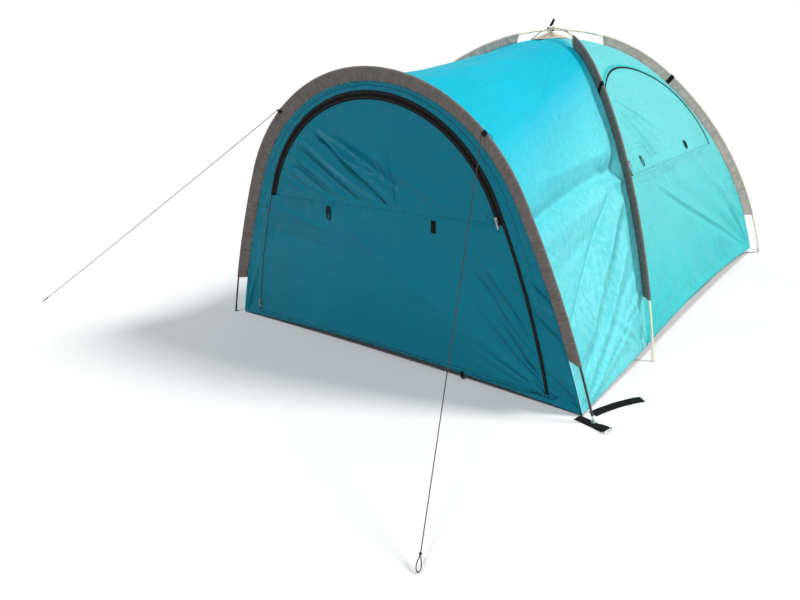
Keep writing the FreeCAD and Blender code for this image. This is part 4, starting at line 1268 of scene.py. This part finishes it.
# The fifth column picks a sleeve cloth by painted light: 'sleeve' is the painted-shade copy, 'sleeve_beige'
# the painted-sunlight copy, also on the front-left sleeve whose slot is grey.
LEGS = {
    "front_right": (1, -1, DOME, 0.340, "sleeve", "sleeve_grey"),
    "front_left": (-1, -1, DOME_UNDER, 0.175, "sleeve_beige", "sleeve_grey"),
    "rear_right": (1, 1, DOME_UNDER, 0.300, "sleeve_beige", "sleeve_beige"),
    "rear_left": (-1, 1, DOME, 0.300, "sleeve_beige", "sleeve_beige"),
}


def sleeves():
    reach = math.hypot(HOOP_FIN_IN, HOOP_FIN_BACK) - 0.0006
    for side in (1, -1):
        # The hoop sleeves take the painted-shade sleeve cloth.
        sleeve("hoop_sleeve_" + side_name(side), HOOP, hoop_world(side), 0.0, arch_length(HOOP) - 0.205,
               reach,
               "hoop_sleeve", "sleeve", "sleeve_grey", 201 + side)
    k = np.linspace(0, 2, 90)
    seam_x, seam_z = on_arch(HOOP, k, HOOP_FIN_IN - 0.0012, FRONT_CORNER_Z + 0.004)
    edge = [(-x, FRONT_Y + 0.0012, z) for x, z in zip(seam_x[::-1], seam_z[::-1])]
    edge += [(x, FRONT_Y + 0.0012, z) for x, z in zip(seam_x[1:], seam_z[1:])]
    # Pale cord along the hoop's seam, drawn as a painted highlight line.
    place(curve("hoop_seam_highlight_cord", edge, 0.0016), "tent", "sleeve_grey", "seam_highlight")
    for side, at in GUY_TABS:
        sleeve("guy_tab_" + side_name(side), HOOP, hoop_world(side), at - 0.009, at + 0.009, 0.016,
               "guy_tabs", "webbing", "webbing", 3, 0.0010)
    for name, (x_sign, y_sign, shape, start, material, slot) in LEGS.items():
        world = dome_world(x_sign, y_sign)
        sleeve("sleeve_" + name + "_cloth", shape, world, start, arch_length(shape) - 0.250,
               DOME_FIN - 0.0004,
               "sleeve_" + name, material, slot, 210 + len(name) + x_sign)
        sleeve("sleeve_strap_" + name, shape, world, STRAP_AT - 0.0125, STRAP_AT + 0.0125, DOME_FIN - 0.0030,
               "sleeve_straps", "webbing", "webbing", 5, 0.0008)


# ---------------------------------------------------------------- crown, straps, tabs and groundsheet

def ribbon(name, centres, across, width, thickness=0.0014, closed=False):
    """Flat woven strap through points, with a direction across it at each point."""
    centres = np.array([tuple(c) for c in centres], float)
    across = unit(np.array(across, float) * np.ones((len(centres), 1)))
    run = running_length(centres)
    shares = np.array([-0.5, -0.46, -0.25, 0.0, 0.25, 0.46, 0.5])
    points = (centres[:, None, :] + across[:, None, :] * (shares * width)[None, :, None]).reshape(-1, 3)
    uv = np.stack([np.repeat(run, 7), np.tile(shares * width, len(run))], 1)
    faces = grid_faces(len(run), 7)
    if closed:
        last = (len(run) - 1) * 7
        faces += [(last + c, last + c + 1, c + 1, c) for c in range(6)]
    made = add_mesh(name, points, faces, {"cloth": uv})
    return thicken(made, thickness, 0.0)


def rounded(points, step=0.003, passes=3):
    """Closely spaced points along a path with its corners eased."""
    path = resample(points, step)
    for _ in range(passes):
        path[1:-1] = (path[:-2] + 2 * path[1:-1] + path[2:]) / 4
    return path


def crown():
    corners = []
    for x_sign, y_sign in ((1, -1), (1, 1), (-1, 1), (-1, -1)):
        place_at, _ = along_arch(DOME, [0.112], 0.0468)
        corners.append(np.array([place_at[0, 0] * SHARE_X * x_sign, place_at[0, 0] * SHARE_Y * y_sign,
                                 place_at[0, 1]]))
    peak = np.array([0, 0, CROWN_PEAK])
    rings, columns = 22, 20
    points, uv = [], []
    for ring in range(rings + 1):
        r = ring / rings
        for i in range(4):
            for step in range(columns):
                t = step / columns
                edge = corners[i] * (1 - t) + corners[(i + 1) % 4] * t
                bow = 1 - 0.10 * math.sin(math.pi * t)
                p = peak + (edge - peak) * r
                p[:2] *= bow
                sag = 0.010 * math.sin(math.pi * t) * math.sin(math.pi * min(1, r * 1.02)) ** 0.8
                turn = (i + t) * 7
                ruck = 0.0022 * float(noise(np.array(turn * 1.3), np.array(r * 2.0),
                                            401)) * math.sin(math.pi * r)
                points.append(p - np.array([0, 0, sag - ruck]))
                uv.append(p[:2])
    faces = grid_faces(rings + 1, 4 * columns, True)
    cap = add_mesh("crown_cap", points, faces, {"cloth": uv, "seam": np.array(uv) + 0.2})
    flip_outwards(cap)
    thicken(cap, 0.0009)
    place(cap, "tent", "crown_fabric", "crown", "crown_patch")
    low, high = CROWN_PEAK + 0.0010, 1.3572
    loop = [(-0.0160, 0, low), (-0.0160, 0, high), (0.0160, 0, high), (0.0160, 0, low), (-0.0155, 0, low)]
    tie = ribbon("crown_tie_band", rounded(loop, 0.002, 2), (0, 1, 0), 0.012, 0.0013)
    place(tie, "tent", "webbing", "webbing", "crown_tie")
    base = Vector((0, 0, 1.3584))
    stem = curve("crown_toggle_stem",
                 [base + Vector(p) for p in ((-0.003, 0, 0.007), (0.004, 0, 0.009), (0.009, 0.001, 0.019),
                                                                  (0.015, 0, 0.028), (0.019, 0, 0.036))],
                                                                  0.0068)
    wrap = curve("crown_toggle_wrap",
                 [base + Vector((0.007 + 0.0062 * math.cos(a) + 0.0006 * a, 0.0070 * math.sin(a),
                                                      0.010 + 0.0011 * a)) for a in np.arange(0, 13, 0.6)],
                                                      0.0018)
    for piece in (stem, wrap):
        place(piece, "tent", "webbing", "tie", "crown_toggle")


def straps():
    """Corner webbing, its free tail, rear tabs and the peg loop on the front hem."""
    ring = np.array([1.052, HOOP_Y - 0.022, 0.0046])
    root = np.array([0.938, HOOP_Y + 0.004, 0.0014])
    towards = (ring - root) * [1, 1, 0]
    towards /= np.linalg.norm(towards)
    across = np.array([-towards[1], towards[0], 0])
    turn = [ring + towards * 0.0037 * math.sin(a) + np.array([0, 0, -0.0037 * math.cos(a)])
            for a in np.linspace(0, math.pi, 9)]
    path = [root, root + towards * 0.05] + turn + [ring - towards * 0.010 + [0, 0, 0.0022],
                                                   ring - towards * 0.034 - [0, 0, 0.0010]]
    webbing = ribbon("corner_strap", rounded(path, 0.003, 1), across, 0.038, 0.0012)
    place(webbing, "tent", "webbing", "webbing", "corner_webbing")
    a, b, c = (np.array(p)
               for p in ((0.974, -1.495, 0.0009), (1.020, -1.382, 0.0012), (1.078, -1.292, 0.0013)))
    spans = np.linspace(0, 1, 46)[:, None]
    control = 2 * b - (a + c) / 2
    arc = a * (1 - spans) ** 2 + 2 * control * spans * (1 - spans) + c * spans ** 2
    arc[:, 2] += 0.0005 + 0.0006 * np.sin(spans[:, 0] * 9) ** 2
    along = np.gradient(arc, axis=0)
    sideways = np.stack([-along[:, 1], along[:, 0], along[:, 0] * 0], 1)
    tail = ribbon("corner_tail_strap", arc, sideways, 0.036, 0.0012)
    place(tail, "tent", "webbing", "webbing", "corner_tail")
    hem = arc[-14:][::-1] + [0, 0, 0.0011]
    doubled = ribbon("corner_tail_hem", hem, sideways[-14:][::-1], 0.0345, 0.0010)
    place(doubled, "tent", "webbing", "webbing", "corner_tail")
    cap = along_arch(DOME_UNDER, [arch_length(DOME_UNDER)])[0][0]
    foot = np.array([cap[0] * SHARE_X, cap[0] * SHARE_Y, cap[1]])
    start = np.array([float(leg_width(np.array(0.033), SHARE_X)), 0.888, 0.033])
    reach = (foot - start) / np.linalg.norm(foot - start)
    for side in (1, -1):
        flip = np.array([side, 1, 1])
        span = rounded([start + reach * 0.010, foot - reach * 0.008], 0.002, 0)
        level = np.cross([0, 0, 1], reach)
        tab = ribbon("rear_corner_tab_" + side_name(side), span * flip, level * flip, 0.012, 0.0014)
        place(tab, "tent", "webbing", "webbing", "rear_corner_tabs")
    peg = [(0.438, FRONT_Y - 0.0010, 0.036), (0.438, FRONT_Y - 0.0020, 0.020),
           (0.438, FRONT_Y - 0.0030, 0.0085),
           (0.438, FRONT_Y - 0.0012, 0.0080)]
    place(ribbon("front_peg_strap", rounded(peg, 0.002, 2), (1, 0, 0), 0.016, 0.0012), "tent", "webbing",
          "webbing",
          "front_peg_loop")


def proud(relief, a, b):
    """How far a small patch of cloth stands out round a point, at most."""
    da, db = np.meshgrid(np.linspace(-0.012, 0.012, 5), np.linspace(-0.04, 0.01, 6))
    return max(0.0, float(relief(a + da.ravel(), b + db.ravel()).max()))


def hanging_loop(name, top, down, side, out, length, width, radius, body, node, material="tie"):
    """Small cord loop sewn in at its top and hanging flat on the cloth."""
    shape = ((0.0, -0.10), (0.10, -0.45), (0.55, -0.50), (0.95, -0.35), (1.0, 0.0), (0.95, 0.35),
             (0.55, 0.50),
             (0.10, 0.45), (0.0, 0.10))
    points = [Vector(top + down * length * a + side * width * b
                     + out * (0.0010 * min(1.0, 4 * a) + radius)) for a, b in shape]
    place(curve(name, points, radius), body, "tie_cord", material, node)


def ties():
    """Loops and straps that hold the rolled flaps."""
    down, out, side = np.array([0, 0, -1.0]), np.array([0, -1.0, 0]), np.array([1.0, 0, 0])
    top = np.array([-0.250, FRONT_Y - proud(front_relief, -0.250, 0.630), 0.6405])
    hanging_loop("front_tie_loop_cord", top, down, side, out, 0.058, 0.024, 0.0022, "door", "front_tie_loop")
    hanging_loop("front_tie_loop_tail", top, down, side, out, 0.034, 0.012, 0.0022, "door", "front_tie_loop")
    top = np.array([0.312, FRONT_Y - 0.0016 - proud(front_relief, 0.312, 0.630), 0.640])
    tab = rounded([top, top + down * 0.030 + out * 0.0010, top + down * 0.048,
                   top + down * 0.049 + out * 0.0022,
                   top + down * 0.030 + out * 0.0030], 0.002, 2)
    place(ribbon("front_tie_strap", tab, side, 0.021, 0.0012), "door", "webbing", "webbing", "front_tie_tab")
    for name, sign in (("right", 1), ("left", -1)):
        lift, outward = wall_lift(sign), wall_normal(sign)
        for y, z, piece in ((-0.430, SIDE_SILL + 0.064, "loop"), (0.208, SIDE_SILL + 0.062, "tab")):
            at, normal = lift(np.array([y]), np.array([z]))[0], outward(np.array([y]), np.array([z]))[0]
            at = at + normal * proud(wall_relief(sign), y, z - 0.015)
            slope = np.cross(normal, [0, sign, 0.0])
            slope *= -np.sign(slope[2])
            if piece == "loop":
                hanging_loop(name + "_tie_loop_cord", at, slope, np.array([0, 1.0, 0]), normal, 0.050,
                             0.020, 0.0018,
                             name + "_window", name + "_tie_loop")
            else:
                path = rounded([at + normal * 0.0024, at + slope * 0.030 + normal * 0.0034,
                                at + slope * 0.048 + normal * 0.0026,
                                at + slope * 0.046 + normal * 0.0050], 0.002, 2)
                place(ribbon(name + "_tie_strap", path, (0, 1, 0), 0.013, 0.0012), name + "_window",
                      "webbing", "webbing",
                      name + "_tie_tab")
                hanging_loop(name + "_tie_strap_loop", at, slope, np.array([0, 1.0, 0]), normal, 0.040,
                             0.026, 0.0024,
                             name + "_window", name + "_tie_tab")


def groundsheet():
    """Coated floor sheet with gentle wrinkles and rounded corners."""
    half, front_edge, back_edge, corner = 0.905, -0.850, 0.870, 0.060
    outline = []
    for cx, cy, first in ((half - corner, back_edge - corner, 0), (corner - half, back_edge - corner, 90),
                          (corner - half, front_edge + corner, 180),
                          (half - corner, front_edge + corner, 270)):
        outline += [(cx + corner * math.cos(math.radians(first + d)),
                     cy + corner * math.sin(math.radians(first + d)))
                    for d in range(0, 91, 10)]
    outline = resample(outline + outline[:1], 0.02)[:-1]

    def lift(a, b):
        return np.stack([a, b, np.full_like(a, 0.0010)], 1)

    def upward(a, b):
        return np.stack([a * 0, a * 0, a * 0 + 1.0], 1)

    def relief(a, b):
        return 0.0030 * (1 + noise(a * 5, b * 4, 501)) * 0.5 + 0.0018 * (1 + noise(a * 13 + b * 8, b * 11,
                                                                                   503)) * 0.5
    sheet = cloth_panel("groundsheet_cloth", [outline], lift, relief, upward, 0.0006, (0.05, 0.0, 0.03), 505)
    place(sheet, "tent", "groundsheet", "ground", "groundsheet")


# ---------------------------------------------------------------- build

porch_roof()
side_wall("right", 1)
side_wall("left", -1)
rear_wall()
front()
sleeves()
crown()
straps()
ties()
groundsheet()

KEPT_CAD = {
    "black_pole": ["hoop_pole_sections"],
    "ivory": ["dome_pole_a_sections", "dome_pole_b_sections"],
    "ferrule": ["hoop_pole_ferrules", "dome_pole_a_ferrules", "dome_pole_b_ferrules"],
    "cap": ["pole_end_caps"],
    "elastic": ["shock_cords"],
    "slider": [zipped + kind for kind in ("_slider", "_pull")
               for zipped in ("door", "front_window", "right_window", "left_window")],
    "steel": ["corner_ring", "corner_pin"],
}


def dress_cad():
    """Materials for the CAD pieces that no mesh here replaces."""
    for material, nodes in KEPT_CAD.items():
        for node in nodes:
            cad = bpy.data.objects[node]
            if not cad.material_slots:
                cad.data.materials.append(MAT[material])
            for held in cad.material_slots:
                held.material = MAT[material]


dress_cad()


def studio():
    """Pale floor that rises gently far out, pale sky and two soft suns."""
    scene = bpy.context.scene
    level = 8.0
    rings = [0.0, level / 2, level] + [level + 2.0 * i for i in range(1, 26)]
    points, columns = [], 72
    for radius in rings:
        rise = 0.0080 * max(0.0, radius - level) ** 2
        points += [(radius * math.cos(math.tau * i / columns), radius * math.sin(math.tau * i / columns),
                    rise)
                   for i in range(columns)]
    floor = add_mesh("floor", points, grid_faces(len(rings), columns, True))
    n = Nodes("floor")
    spot = n.noise(n.add("ShaderNodeTexCoord").outputs["Object"], 1.5)
    n.finish(n.mix(n.ramp(spot, 0.3, 0.7, 0, 1), (0.63, 0.63, 0.63), (0.65, 0.65, 0.65)), Roughness=0.95,
             Specular_IOR_Level=0.0)
    floor.data.materials.append(n.material)
    floor.location.z = -0.0005
    world = bpy.data.worlds.new("studio")
    world.use_nodes = True
    sky = world.node_tree.nodes["Background"].inputs
    sky["Color"].default_value = (0.90, 0.98, 1.08, 1.0)
    sky["Strength"].default_value = 0.22
    scene.world = world
    for name, energy, angle, colour, to_light in (("key", 3.6, 16.0, (1.0, 0.98, 0.95), (0.60, 0.38, 0.70)),
                                                  ("fill", 2.1, 14.0, (0.96, 0.98, 1.0),
                                                   (0.10, -0.55, 0.83))):
        light = bpy.data.lights.new(name, "SUN")
        light.energy = energy
        light.angle = math.radians(angle)
        light.color = colour
        lamp = bpy.data.objects.new(name, light)
        lamp.rotation_mode = "QUATERNION"
        lamp.rotation_quaternion = (-Vector(to_light)).to_track_quat("-Z", "Y")
        scene.collection.objects.link(lamp)
    scene.view_settings.view_transform = "Standard"


studio()
